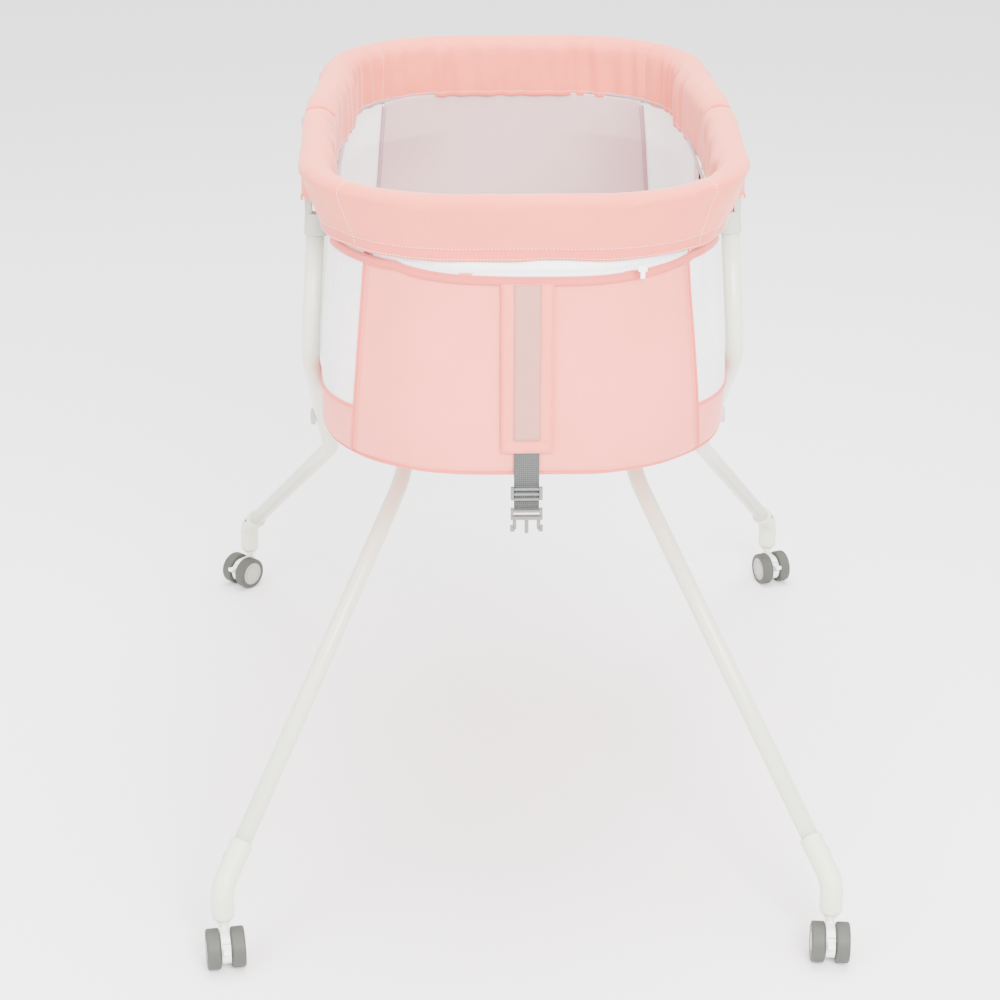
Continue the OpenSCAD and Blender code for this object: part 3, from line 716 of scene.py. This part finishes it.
for is_far in (False, True):
    side = "far" if is_far else "near"
    a, b = (0.25, 0.75) if is_far else (-0.25, 0.25)
    rim_cover("rim_cover_" + side, is_far)
    for row, s in (("outer", 0.02), ("second", 0.082), ("inner", 0.975)):
        seam = stitches(f"rim_hem_stitch_{row}_{side}", rim_line(a, b, s, 300), WHITE_THREAD)
        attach(seam, "rim_" + side)
    # A cross seam over the sleeve at each near corner
    for k, sign in enumerate((-1, 1)):
        mid = 0.5 if is_far else 0.0
        t = mid + sign * 0.093
        path = []
        for i in range(60):
            s = mix(0.03, 0.97, i / 59)
            p, _ = rim_point(t, s)
            q, _ = rim_point(t + 0.0005, s)
            r, _ = rim_point(t, s + 0.01)
            normal = (q - p).cross(r - p).normalized()
            path.append((p + normal * 0.6 * MM, normal))
        seam = stitches(f"rim_cross_stitch_{side}_{k}", path, WHITE_THREAD, 2.2 * MM, 1.6 * MM)
        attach(seam, "rim_" + side)


def over_slit(far):
    """The bound edge of one half of the slit over each middle hinge."""
    side = 1 if far else -1
    for k, t in enumerate((0.25, 0.75)):
        path = []
        for i in range(25):
            s = mix(LENS[0] - 0.03, LENS[1] + 0.03, i / 24)
            p, n = rim_point(t + side * (-1 if k else 1) * 1e-5, s)
            p.y = side * max(abs(p.y), lens(s) + 0.6 * MM)
            path.append(p + UP * 0.5 * MM)
        edge = sweep(f"slit_edge_{'far' if far else 'near'}_{k}", path, 1.3 * MM, RIM_HEM, 10, (0, 1, 0))
        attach(edge, "rim_far" if far else "rim_near")


tube_lo, tube_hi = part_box("rim_tube_near")
cap_lo, cap_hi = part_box("rim_hinge_caps")
HINGE_Z = (cap_lo[2] + cap_hi[2]) / 2
TUBE_X = tube_hi[0] - (tube_hi[2] - tube_lo[2]) / 2


def hinge_foam(far):
    """Near-black foam over the tube end and the hinge strap, seen through the slit: its near-black is painted shade
    of the hole.
    """
    side = 1 if far else -1
    for k, x in enumerate((-TUBE_X, TUBE_X)):
        path = [(x, side * mix(0.5 * MM, 46 * MM, i / 8), HINGE_Z) for i in range(9)]
        radii = [9.6 * MM] * 8 + [8 * MM]
        foam = sweep(f"hinge_foam_{'far' if far else 'near'}_{k}", path, radii, FOAM_PAINTED_SHADE, 24, (0, 0, 1))
        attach(foam, "rim_far" if far else "rim_near")


def knob(side):
    """Turned profile of the plastic cap at a middle hinge, which stands out of the sleeve."""
    x0, x1 = TUBE_X + 4 * MM, RIM_HW + 5 * MM
    profile = [(x0, 8.6), (x1 - 2.4 * MM, 8.6), (x1 - 0.8 * MM, 7.8), (x1, 6.2), (x1, 3.4), (x1 - 0.9 * MM, 2.8),
               (x1 - 0.9 * MM, 0.4)]
    path = [(side * x, 0, HINGE_Z) for x, _ in profile]
    path = [Vector(q) + Vector((side * i * 1e-5, 0, 0)) for i, q in enumerate(path)]
    return path, [rr * MM for _, rr in profile]


for side in (-1, 1):
    path, radii = knob(side)
    piece = sweep(f"hinge_knob_{'left' if side < 0 else 'right'}", path, radii, SOCKET, 40, (0, 0, 1))
    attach(piece, "rim_far")
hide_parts("rim_hinge_caps")
for is_far in (False, True):
    over_slit(is_far)
    hinge_foam(is_far)

# Welt over each socket's slit
for sx in (-1, 1):
    for sy in (-1, 1):
        path = []
        for i in range(15):
            y = sy * SOCKET_Y + mix(-17, 17, i / 14) * MM
            x = SOCKET_X + 16.2 * MM - 1.5 * MM * abs(i / 7 - 1) ** 3
            path.append((sx * x, y, SLIT_Z + 0.4 * MM))
        welt = sweep(f"socket_slit_{'l' if sx < 0 else 'r'}{'n' if sy < 0 else 'f'}", path, 1.3 * MM, RIM_HEM, 10,
                     (0, 0, 1))
        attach(welt, "rim_near" if sy < 0 else "rim_far")


# ---- Basket cloth ----

def on_basket(obj):
    """A soft piece of the basket: it rides on the carrier, with a mesh of its own."""
    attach(obj, "carrier")
    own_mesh(obj)
    return obj


def panel_dip(p, seed):
    """Slack of an end panel: a soft belly, long upright folds, and small pulls along the bottom seam."""
    q = Vector((p.x * 9, seed * 5, p.z * 2.2))
    folds = 2.4 * MM * noise.noise(q) + 1.1 * MM * noise.noise(Vector((p.x * 26, seed, p.z * 5)))
    low = 1 - smooth(0, 45 * MM, p.z - BASE_Z)
    pulls = low * 1.3 * MM * noise.noise(Vector((p.x * 70, seed, p.z * 18)))
    return folds + pulls + creases(p, seed, 0.085, 1.2 * MM)


def droop(t, z):
    """The basket's bottom edge hangs a little lower in the middle of both ends."""
    f = clamp(1 - (z - BASE_Z) / (40 * MM))
    return 4 * MM * f * math.exp(-(min(abs(t % 1.0 - k) for k in (0.0, 0.5, 1.0)) / 0.07) ** 2)


def end_panel(name, near, material, inward, seed, z_top):
    mid = 0.0 if near else 0.5

    def surface(u, v):
        z = mix(BASE_Z + 1 * MM, z_top, v)
        half = seam_t(z, True)
        t = mid + mix(-half, half, u)
        p, n = wall(t, z, inward)
        edge = smooth(0, 0.05, u) * smooth(0, 0.05, 1 - u) * smooth(0, 0.04, v)
        pucker = (1 - smooth(0, 0.1, min(u, 1 - u))) * 0.8 * MM * math.sin(z * 700 + seed)
        dip = panel_dip(p, seed) * edge + pucker * edge
        hem = -3.0 * MM * smooth(0.9, 1.0, v) * (0.5 + noise.noise(Vector((u * 5, seed, 0))))
        return p + n * dip + UP * (hem - droop(t, z)), ((u - 0.5) * 0.45, z)

    obj = patch(name, surface, 110, 76, material, 1.0 * MM)
    return on_basket(obj)


PANEL_TOP = WALL_TOP - 8 * MM
near_panel = end_panel("near_panel", True, PANEL_CLOTH, 0.0, 1, PANEL_TOP)
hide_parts("basket_shell")
end_panel("far_panel", False, PANEL_CLOTH, 0.0, 2, WALL_TOP)
# The inner faces take the grey-pink painted shade of the basket's inside.
end_panel("near_lining", True, INSIDE_CLOTH_PAINTED_SHADE, 3.2 * MM, 3, WALL_TOP + 4 * MM)
end_panel("far_lining", False, INSIDE_CLOTH_PAINTED_SHADE, 3.2 * MM, 4, WALL_TOP + 8 * MM)


def corner_span(z, right, near):
    """t at the end panel's seam and at the side strip's edge, for one corner."""
    s = seam_t(z, True)
    if not near:
        s = 0.5 - s
    edge = side_t(True, -STRIP_HALF if near else STRIP_HALF)
    if not right:
        s, edge = 1.0 - s, 1.0 - edge
    return s, edge


def corner_patch(name, right, near, z0, z1, material, amount, seed, thickness, inward=0.0, nv=40):
    def surface(u, v):
        z = mix(z0, z1, v)
        s, e = corner_span(z, right, near)
        t = mix(s, e, u)
        p, n = wall(t, z, inward)
        edge = smooth(0, 0.08, u) * smooth(0, 0.08, 1 - u) * smooth(0, 0.08, v) * smooth(0, 0.08, 1 - v)
        return p + n * creases(p, seed, 0.1, amount) * edge, (u * 0.42, z)

    return on_basket(patch(name, surface, 80, nv, material, thickness))


for right in (True, False):
    for near in (True, False):
        tag = ("right" if right else "left") + ("_near" if near else "_far")
        seed = 10 + 2 * right + near
        corner_patch("net_" + tag, right, near, MESH_LOW, WALL_TOP + 6 * MM, NET, 2.5 * MM, seed, 0.0)
        corner_patch("low_band_" + tag, right, near, BASE_Z + 1 * MM, MESH_LOW, PANEL_CLOTH, 1.6 * MM, seed + 9,
                     1.0 * MM, nv=20)
        corner_patch("low_lining_" + tag, right, near, BASE_Z + 3 * MM, MESH_LOW, INSIDE_CLOTH_PAINTED_SHADE, 1.0 * MM, seed + 5,
                     0.6 * MM, 3.0 * MM, nv=12)


def side_strip(name, right, material, inward, half):
    def surface(u, v):
        z = mix(BASE_Z + 1 * MM, WALL_TOP + 4 * MM, v)
        t = side_t(right, mix(-half, half, u))
        p, n = wall(t, z, inward)
        return p + n * (0.8 * MM + creases(p, 31, 0.05, 0.8 * MM)), (u * 2 * half, z)

    return on_basket(patch(name, surface, 12, 60, material, 0.8 * MM))


for right in (True, False):
    tag = "right" if right else "left"
    side_strip("side_strip_" + tag, right, PANEL_CLOTH, 0.0, STRIP_HALF + 3 * MM)
    side_strip("side_lining_" + tag, right, INSIDE_CLOTH_PAINTED_SHADE, 3.5 * MM, STRIP_HALF + 2 * MM)


def wall_tube(name, points, radius, material, inward=-0.6 * MM, sides=10, ref=(0, 0, 1)):
    path = [wall(t, z, inward)[0] for t, z in points]
    return on_basket(sweep(name, path, radius, material, sides, ref))


# Piping along the bottom edge, all round
def bottom_piping():
    path = []
    count = 260
    for i in range(count):
        t = i / count
        p, n = wall(t, BASE_Z + 4 * MM, -1.0 * MM)
        path.append(p + UP * (0.8 * MM * noise.noise(Vector((t * 40, 0, 0))) - droop(t, BASE_Z)))
    return on_basket(sweep("bottom_piping", path, 2.0 * MM, TRIM_CLOTH, 10, (0, 0, 1), closed=True))


bottom_piping()


def base_sheet():
    """The cloth underside, drawn flat over the floor boards."""
    rings, verts, uvs, faces = 14, [], [], []
    count = 160
    for j in range(rings + 1):
        f = j / rings
        for i in range(count):
            p, n = wall(i / count, BASE_Z, 0.0)
            q = Vector((p.x * f, p.y * f, 0))
            sag = 1.5 * MM * (1 - f ** 4) + creases(q, 41, 0.09, 0.8 * MM) * (1 - f)
            verts.append(Vector((q.x, q.y, BASE_Z + 2.4 * MM - sag)))
            uvs.append((q.x, q.y))
    for j in range(rings):
        for i in range(count):
            a, b = j * count + i, j * count + (i + 1) % count
            faces.append((a, b, b + count, a + count))
    obj = new_object("base_sheet", verts, faces, PANEL_CLOTH, uvs)
    thicken(obj, 1.0 * MM)
    return on_basket(obj)


base_sheet()

# Seams, piping and stitching between the panels
for right in (True, False):
    for near in (True, False):
        tag = ("right" if right else "left") + ("_near" if near else "_far")
        zs = [mix(BASE_Z + 2 * MM, WALL_TOP, i / 60) for i in range(61)]
        line = [(corner_span(z, right, near)[0], z) for z in zs]
        wall_tube("seam_piping_" + tag, line, 1.4 * MM, TRIM_CLOTH, ref=(1, 0, 0))
        wall_tube("lining_piping_" + tag, line, 2.8 * MM, LINING_TRIM, 3.4 * MM, ref=(1, 0, 0))
        toward = (1 if right else -1) * (-1 if near else 1)
        for k, gap in enumerate((5 * MM, 9 * MM)):
            dt = toward * gap / BASE_PLAN.length
            path = []
            for z in zs:
                t = corner_span(z, right, near)[0] + dt
                p, n = wall(t, z, -0.9 * MM)
                dip = panel_dip(p, 1 if near else 2) * 0.3
                path.append((p + n * dip, n))
            seam = stitches(f"seam_stitch_{tag}_{k}", path, THREAD)
            on_basket(seam)
        # Binding between the net and the low band
        count = 50
        bind = []
        for i in range(count + 1):
            s, e = corner_span(MESH_LOW, right, near)
            bind.append((mix(s, e, i / count), MESH_LOW))
        wall_tube("net_binding_" + tag, bind, 2.4 * MM, TRIM_CLOTH, -0.4 * MM)
    tag = "right" if right else "left"
    for k, y in enumerate((-STRIP_HALF - 2 * MM, STRIP_HALF + 2 * MM)):
        edge = [(side_t(right, y), mix(BASE_Z, WALL_TOP, i / 40)) for i in range(41)]
        wall_tube(f"strip_edge_{tag}_{k}", edge, 1.4 * MM, TRIM_CLOTH, -1.2 * MM, ref=(1, 0, 0))

# Binding where the lining meets the rim's inner hem
bind = []
for i in range(240):
    p, n = wall(i / 240, WALL_TOP + 8 * MM, 2.0 * MM)
    bind.append(p)
on_basket(sweep("lining_binding", bind, 2.2 * MM, LINING_TRIM, 8, (0, 0, 1), closed=True))


# ---- Zipper and hem strip along the near end ----

def zip_drop(x):
    """How far the panel's hem hangs below the rim cover's hem: deepest in the middle, closed at both ends."""
    f = clamp((x - ZIP_X[0]) / (ZIP_X[1] - ZIP_X[0]))
    return 11.5 * MM * math.sin(math.pi * f) ** 0.55


def ribbon(name, x0, x1, top, low, out, material, n=120, rows=4, wave=0.0):
    """A strip of cloth along the near wall between two heights, each a function of x."""
    plan = level(WALL_TOP)
    t0, t1 = plan.t_of_x(abs(x0)), plan.t_of_x(abs(x1))
    t0, t1 = (t0 if x0 >= 0 else -t0), (t1 if x1 >= 0 else -t1)

    def surface(u, v):
        t = mix(t0, t1, u)
        x = plan.at(t)[0].x
        z = mix(low(x), top(x), v)
        p, n = wall(t % 1.0, z, -out)
        return p + n * wave * noise.noise(Vector((t * 60, v, 8))), (t * plan.length, z)

    return patch(name, surface, n, rows, material, 0.8 * MM)


zip_tape = on_basket(ribbon("zip_tape", ZIP_X[0] - 30 * MM, ZIP_X[1] + 8 * MM, lambda x: WALL_TOP + 6 * MM,
                            lambda x: WALL_TOP - zip_drop(x) - 7 * MM, 0.2 * MM, WHITE_TAPE))
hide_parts("zipper_tape")
HEM_H = 11 * MM
hem = on_basket(ribbon("panel_hem", -SEAM_TOP_X - 42 * MM, SEAM_TOP_X + 42 * MM,
                       lambda x: WALL_TOP - zip_drop(x) - 1.5 * MM,
                       lambda x: WALL_TOP - zip_drop(x) - HEM_H - 1.5 * MM, 2.2 * MM, TRIM_CLOTH, wave=0.8 * MM))

teeth_boxes = []
plan_top = level(WALL_TOP)
for i in range(170):
    x = mix(ZIP_X[0] + 6 * MM, ZIP_X[1] - 6 * MM, i / 169)
    t = plan_top.t_of_x(abs(x)) * (1 if x >= 0 else -1)
    z = WALL_TOP - zip_drop(x) * 0.62 + 1.0 * MM
    p, n = wall(t % 1.0, z, -1.6 * MM)
    teeth_boxes.append(((p.x - 0.55 * MM, p.y - 0.7 * MM, z - 2.0 * MM), (p.x + 0.55 * MM, p.y + 0.5 * MM, z + 2.0 * MM)))
on_basket(blocks("zip_teeth", teeth_boxes, ZIP_TEETH, 0.3 * MM))

plan_hem = level(WALL_TOP)
for row, drop in (("upper", 2.5 * MM), ("lower", HEM_H - 2 * MM)):
    path = []
    for i in range(260):
        x = mix(-SEAM_TOP_X - 20 * MM, SEAM_TOP_X + 20 * MM, i / 259)
        t = plan_hem.t_of_x(abs(x)) * (1 if x >= 0 else -1)
        p, n = wall(t % 1.0, WALL_TOP - zip_drop(x) - 1.5 * MM - drop, -2.9 * MM)
        path.append((p, n))
    on_basket(stitches("hem_stitch_" + row, path, THREAD))


# ---- Strap pocket, webbing and buckle ----

def front_sheet(name, w, z0, z1, out, material, thickness, slack=0.0, nu=16, nv=60, seed=50):
    def surface(u, v):
        x = mix(-w / 2, w / 2, u)
        z = mix(z0, z1, v)
        t = level(z).t_of_x(abs(x)) * (1 if x >= 0 else -1)
        p, n = wall(t % 1.0, z, -out)
        edge = smooth(0, 0.12, u) * smooth(0, 0.12, 1 - u)
        return p + n * slack * edge * (0.6 + noise.noise(Vector((u * 2, v * 7, seed)))), (x, z)

    return patch(name, surface, nu, nv, material, thickness)


pocket_lo, pocket_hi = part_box("strap_pocket")
web_lo, web_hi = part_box("webbing_strap")
POCKET_LOW, POCKET_HIGH = pocket_lo[2] - 7 * MM, WALL_TOP - 21 * MM
pocket = on_basket(front_sheet("strap_pocket_cloth", POCKET_W, POCKET_LOW, POCKET_HIGH, 2.6 * MM, POCKET_CLOTH,
                               0.9 * MM, 1.2 * MM))
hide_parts("strap_pocket")
for k, x in enumerate((-POCKET_W / 2 + 2.5 * MM, POCKET_W / 2 - 2.5 * MM)):
    path = []
    for i in range(60):
        z = mix(POCKET_LOW + 3 * MM, POCKET_HIGH, i / 59)
        t = level(z).t_of_x(abs(x)) * (1 if x >= 0 else -1)
        path.append(wall(t % 1.0, z, -3.1 * MM))
    on_basket(stitches(f"pocket_stitch_{k}", path, THREAD))
for k, z in enumerate((POCKET_LOW + 3 * MM, POCKET_LOW + 15 * MM)):
    path = []
    for i in range(30):
        x = mix(-POCKET_W / 2 + 3 * MM, POCKET_W / 2 - 3 * MM, i / 29)
        t = level(z).t_of_x(abs(x)) * (1 if x >= 0 else -1)
        path.append(wall(t % 1.0, z, -3.4 * MM))
    on_basket(stitches(f"pocket_hem_stitch_{k}", path, THREAD))

strap_y = (web_lo[1] + web_hi[1]) / 2


def strap_surface(u, v):
    z = mix(web_lo[2] + 4 * MM, BASE_Z + 60 * MM, v)
    y = -level(max(z, BASE_Z + 14 * MM)).hl - 1.6 * MM
    if z < BASE_Z + 14 * MM:
        y -= 1.2 * MM * math.sin((BASE_Z - z) * 40)
    x = mix(-WEB_W / 2, WEB_W / 2, u)
    return Vector((x, y, z)), (x, z)


strap = on_basket(patch("webbing_loop", strap_surface, 12, 60, WEBBING, 1.6 * MM))
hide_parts("webbing_strap")
# The webbing shows as a shadow through the thin pocket cloth
SHADOW = cloth("webbing_shadow", (0.42, 0.17, 0.135), (0.52, 0.215, 0.175), thread=0.7 * MM, mottle=40.0)
on_basket(front_sheet("webbing_behind_cloth", 31 * MM, POCKET_LOW + 17 * MM, POCKET_HIGH - 1 * MM, 4.6 * MM, SHADOW,
                      0.3 * MM, 0.8 * MM, 8, 60, 53))

slider_lo, slider_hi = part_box("strap_slider")
buckle_lo, buckle_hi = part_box("strap_buckle")


def buckle_boxes():
    y = strap_y
    zs, zb = slider_lo[2], buckle_lo[2] + 9 * MM
    w = WEB_W / 2
    t = 1.9 * MM
    ladder = [
        ((-w - 4 * MM, y - 3 * MM, zs), (-w, y + 3 * MM, zs + 16 * MM)),
        ((w, y - 3 * MM, zs), (w + 4 * MM, y + 3 * MM, zs + 16 * MM)),
        ((-w, y - 4 * MM, zs), (w, y - 2 * MM, zs + 3 * MM)),
        ((-w, y - 4 * MM, zs + 6.5 * MM), (w, y - 2 * MM, zs + 9.5 * MM)),
        ((-w, y - 4 * MM, zs + 13 * MM), (w, y - 2 * MM, zs + 16 * MM)),
    ]
    body = zb + 18 * MM
    plug = [
        ((-w - 4 * MM, y - 4 * MM, body), (w + 4 * MM, y + 4 * MM, body + 4.5 * MM)),
        ((-w - 3 * MM, y - 3.2 * MM, body + 9 * MM), (w + 3 * MM, y + 3.2 * MM, body + 12.5 * MM)),
        ((-w - 4 * MM, y - 3 * MM, body + 4 * MM), (-w - 0.5 * MM, y + 3 * MM, body + 14 * MM)),
        ((w + 0.5 * MM, y - 3 * MM, body + 4 * MM), (w + 4 * MM, y + 3 * MM, body + 14 * MM)),
        ((-2.4 * MM, y - t, zb), (2.4 * MM, y + t, body + 0.5 * MM)),
    ]
    for s in (-1, 1):
        x0, x1 = sorted((s * (w - 3 * MM), s * (w + 1.5 * MM)))
        plug.append(((x0, y - t, zb + 5 * MM), (x1, y + t, body + 0.5 * MM)))
        x0, x1 = sorted((s * (w - 1 * MM), s * (w + 4.5 * MM)))
        plug.append(((x0, y - t, zb + 2 * MM), (x1, y + t, zb + 10 * MM)))
    return ladder, plug


ladder_boxes, plug_boxes = buckle_boxes()
ladder = on_basket(blocks("strap_ladder", ladder_boxes, BUCKLE, 0.9 * MM))
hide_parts("strap_slider")
plug = on_basket(blocks("strap_plug", plug_boxes, BUCKLE, 0.9 * MM))
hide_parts("strap_buckle")


# ---- Mattress ----

def pad_start(name, far):
    """A closed block with rounded plan corners at its outer end, a little smaller than the CAD pad."""
    lo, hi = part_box("mattress_far" if far else "mattress_near")
    side = 1 if far else -1
    hw, inset = hi[0] - 3 * MM, 3 * MM
    y_in, y_out = side * 1.5 * MM, (hi[1] if far else lo[1]) - side * inset
    z0, z1 = lo[2] + 0.4 * MM, hi[2] - 4 * MM
    corner = 88 * MM
    outline = [(-hw, y_in), (hw, y_in)]
    for c, start in ((1, 0), (-1, 90)):
        for i in range(13):
            w = math.radians(start + 90 * i / 12)
            outline.append((c * (hw - corner) + corner * math.cos(w),
                            y_out - side * corner + side * corner * math.sin(w)))
    n = len(outline)
    verts = [(x, y, z) for z in (z0, z1) for x, y in outline]
    faces = [tuple(range(n)), tuple(range(2 * n - 1, n - 1, -1))]
    faces += [(i, n + i, n + (i + 1) % n, (i + 1) % n) for i in range(n)]
    # The pad takes the grey-pink painted shade of the basket's inside.
    return new_object(name, verts, faces, INSIDE_CLOTH_PAINTED_SHADE), lo, hi


def bake(obj):
    """Replace the piece's mesh by its modified one."""
    deps = bpy.context.evaluated_depsgraph_get()
    mesh = bpy.data.meshes.new_from_object(obj.evaluated_get(deps))
    obj.modifiers.clear()
    obj.data = mesh


def inflate(obj, cap, pressure=4.0):
    """Swell a closed cloth skin by simulation, moving no point further than cap."""
    remesh = obj.modifiers.new("remesh", "REMESH")
    remesh.mode = "VOXEL"
    remesh.voxel_size = 6 * MM
    bake(obj)
    rest = [v.co.copy() for v in obj.data.vertices]
    sim = obj.modifiers.new("cloth", "CLOTH")
    sim.settings.use_pressure = True
    sim.settings.uniform_pressure_force = pressure
    sim.settings.effector_weights.gravity = 0
    sim.settings.quality = 4
    scene = bpy.context.scene
    for f in range(1, 16):
        scene.frame_set(f)
    bake(obj)
    scene.frame_set(1)
    for v, r in zip(obj.data.vertices, rest):
        move = v.co - r
        if move.length > cap:
            v.co = r + move.normalized() * cap
    return rest


def mattress(name, far):
    obj, lo, hi = pad_start(name, far)
    inflate(obj, 6 * MM)
    side = 1 if far else -1
    for v in obj.data.vertices:
        c = v.co
        top = smooth(lo[2] + 12 * MM, hi[2] - 7 * MM, c.z)
        edge = smooth(0, 30 * MM, hi[0] - abs(c.x)) * smooth(0, 30 * MM, abs(c.y - (hi[1] if far else lo[1])))
        u, w = (c.x + c.y) * 36, (c.x - c.y) * 36
        seam = min(abs(math.sin(u)), abs(math.sin(w)))
        c.z -= top * edge * 2.6 * MM * (1 - smooth(0, 0.5, seam))
        c.z = clamp(c.z, lo[2] + 0.2 * MM, hi[2] - 0.3 * MM)
        c.x = clamp(c.x, lo[0], hi[0])
        c.y = clamp(c.y, 0.6 * MM, hi[1]) if far else clamp(c.y, lo[1], -0.6 * MM)
    layer = obj.data.uv_layers.new(name="UVMap")
    for loop in obj.data.loops:
        v = obj.data.vertices[loop.vertex_index].co
        layer.data[loop.index].uv = (v.x, v.y)
    for poly in obj.data.polygons:
        poly.use_smooth = True
    sub = obj.modifiers.new("smooth", "SUBSURF")
    sub.levels = sub.render_levels = 1
    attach(obj, "floor_far" if far else "floor_near")
    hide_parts("mattress_far" if far else "mattress_near")
    return obj


mattress("mattress_pad_near", False)
mattress("mattress_pad_far", True)


# ---- Stand: smooth skins over the bent tubes ----

TUBE_R = 11 * MM
BEND_R = 60 * MM
SLOPE = 0.742
FOOT_Z = 98 * MM
COLLAR = 62 * MM
INSERT = 20 * MM
side_x = 262 * MM
hang_x = side_x - 24 * MM
rear_lo, rear_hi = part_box("rear_elbow_right")
front_lo, front_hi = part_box("front_elbow_right")
REAR_FOOT = Vector((rear_hi[0] - 14 * MM, rear_hi[1] - 14 * MM, FOOT_Z))
FRONT_FOOT = Vector((front_hi[0] - 14 * MM, front_lo[1] + 14 * MM, FOOT_Z))
ELBOW_LOW = rear_lo[2]
BEND = Vector((side_x, 225 * MM, AXLE_Z + 225 * MM * SLOPE))
SIDE_LOW = Vector((side_x, 130 * MM, AXLE_Z - 130 * MM * SLOPE))
LEG_BEND = Vector((150 * MM, -70 * MM, AXLE_Z - 50 * MM))
TUBE_TOP = socket_hi[2] - 75 * MM


def toward(a, b, d):
    """The point d short of b on the way from a."""
    return b + (a - b).normalized() * d


def flip(p, left):
    return Vector((-p[0] if left else p[0], p[1], p[2]))


LEG_R = 220 * MM


def stand_tube(name, points, left, body, replaced, radius=BEND_R):
    path = round_corners([flip(p, left) for p in points], radius, 14)
    obj = sweep(name, path, TUBE_R, PAINT, 40)
    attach(obj, body)
    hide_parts(replaced)


for left in (True, False):
    tag = "left" if left else "right"
    stand_tube("side_tube_skin_" + tag, [
        (SOCKET_X, -SOCKET_Y, TUBE_TOP), (BEND.x, -BEND.y, BEND.z), SIDE_LOW,
        toward(SIDE_LOW, REAR_FOOT, COLLAR - INSERT)], left, "frame_a", "side_tube_" + tag)
    stand_tube("hanger_skin_" + tag, [
        (SOCKET_X, SOCKET_Y, TUBE_TOP), BEND, (side_x, 95 * MM, AXLE_Z + 95 * MM * SLOPE),
        (hang_x, 18 * MM, AXLE_Z + 18 * MM * SLOPE), (hang_x, -13 * MM, AXLE_Z - 13 * MM * SLOPE)],
        left, "frame_b", "hanger_" + tag)
    stand_tube("front_leg_skin_" + tag, [
        toward(LEG_BEND, Vector((LEG_BEND.x, 0, AXLE_Z)), 12 * MM), LEG_BEND,
        toward(LEG_BEND, FRONT_FOOT, COLLAR - INSERT)], left, "frame_b", "front_leg_" + tag, LEG_R)


def elbow_skin(name, start, foot, left, body, replaced):
    a, b = flip(start, left), flip(foot, left)
    path = round_corners([toward(a, b, COLLAR), b, Vector((b.x, b.y, ELBOW_LOW))], 34 * MM, 16)
    dense = []
    for p, q in zip(path, path[1:]):
        n = max(1, int((q - p).length / (2.5 * MM)))
        dense += [p.lerp(q, i / n) for i in range(n)]
    dense.append(path[-1])
    run, total = [0.0], 0.0
    for p, q in zip(dense, dense[1:]):
        total += (q - p).length
        run.append(total)
    r = 14 * MM
    radii = []
    for d in run:
        lip = 0.9 * MM * (1 - smooth(2 * MM, 4.5 * MM, d))
        start_round = -1.2 * MM * (1 - smooth(0, 1.2 * MM, d))
        end_round = -3.0 * MM * smooth(total - 5 * MM, total, d) ** 2
        radii.append(r + lip + start_round + end_round)
    obj = sweep(name, dense, radii, ELBOW, 44)
    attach(obj, body)
    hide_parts(replaced)
    # Painted shade of a screw slot: a dark disc on the outer side, a little below the collar's lip
    axis = (b - a).normalized()
    out = Vector((-1 if left else 1, 0, 0))
    out = (out - axis * out.dot(axis)).normalized()
    across = axis.cross(out)
    c = toward(a, b, COLLAR - 22 * MM) + out * (r - 0.4 * MM)
    verts, faces = [], []
    for layer, h in ((0, 0.0), (1, 0.75 * MM)):
        for k in range(24):
            w = 2 * math.pi * k / 24
            verts.append(c + axis * math.cos(w) * 5.2 * MM + across * math.sin(w) * 1.9 * MM + out * h)
    faces = [tuple(range(24))[::-1], tuple(range(24, 48))]
    faces += [(k, (k + 1) % 24, 24 + (k + 1) % 24, 24 + k) for k in range(24)]
    slot = new_object(name + "_slot", verts, faces, SLOT_PAINTED_SHADE)
    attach(slot, body)


for left in (True, False):
    tag = "left" if left else "right"
    elbow_skin("rear_elbow_skin_" + tag, SIDE_LOW, REAR_FOOT, left, "frame_a", "rear_elbow_" + tag)
    elbow_skin("front_elbow_skin_" + tag, LEG_BEND, FRONT_FOOT, left, "frame_b", "front_elbow_" + tag)


# ---- Better materials on the CAD nodes that stay ----

NODE_MATERIALS = {
    "axle_rod": STEEL, "axle_caps": SOCKET, "pivot_washers": WHITE_PLASTIC, "zipper_slider": ZIP_TEETH,
    "near_socket": SOCKET, "far_socket": SOCKET, "cross_sleeve": PAINT, "rim_tube": RIM_PAINT,
    "rim_straps": STEEL, "rim_pins": STEEL, "floor_board": BOARD, "caster_housing": WHITE_PLASTIC,
    "caster_axle": STEEL, "caster_tyres": TYRE, "caster_hubs": HUB, "brake_lever": WHITE_PLASTIC,
}

for name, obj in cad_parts.items():
    for start, material in NODE_MATERIALS.items():
        if name.startswith(start):
            for slot in obj.material_slots:
                slot.material = material
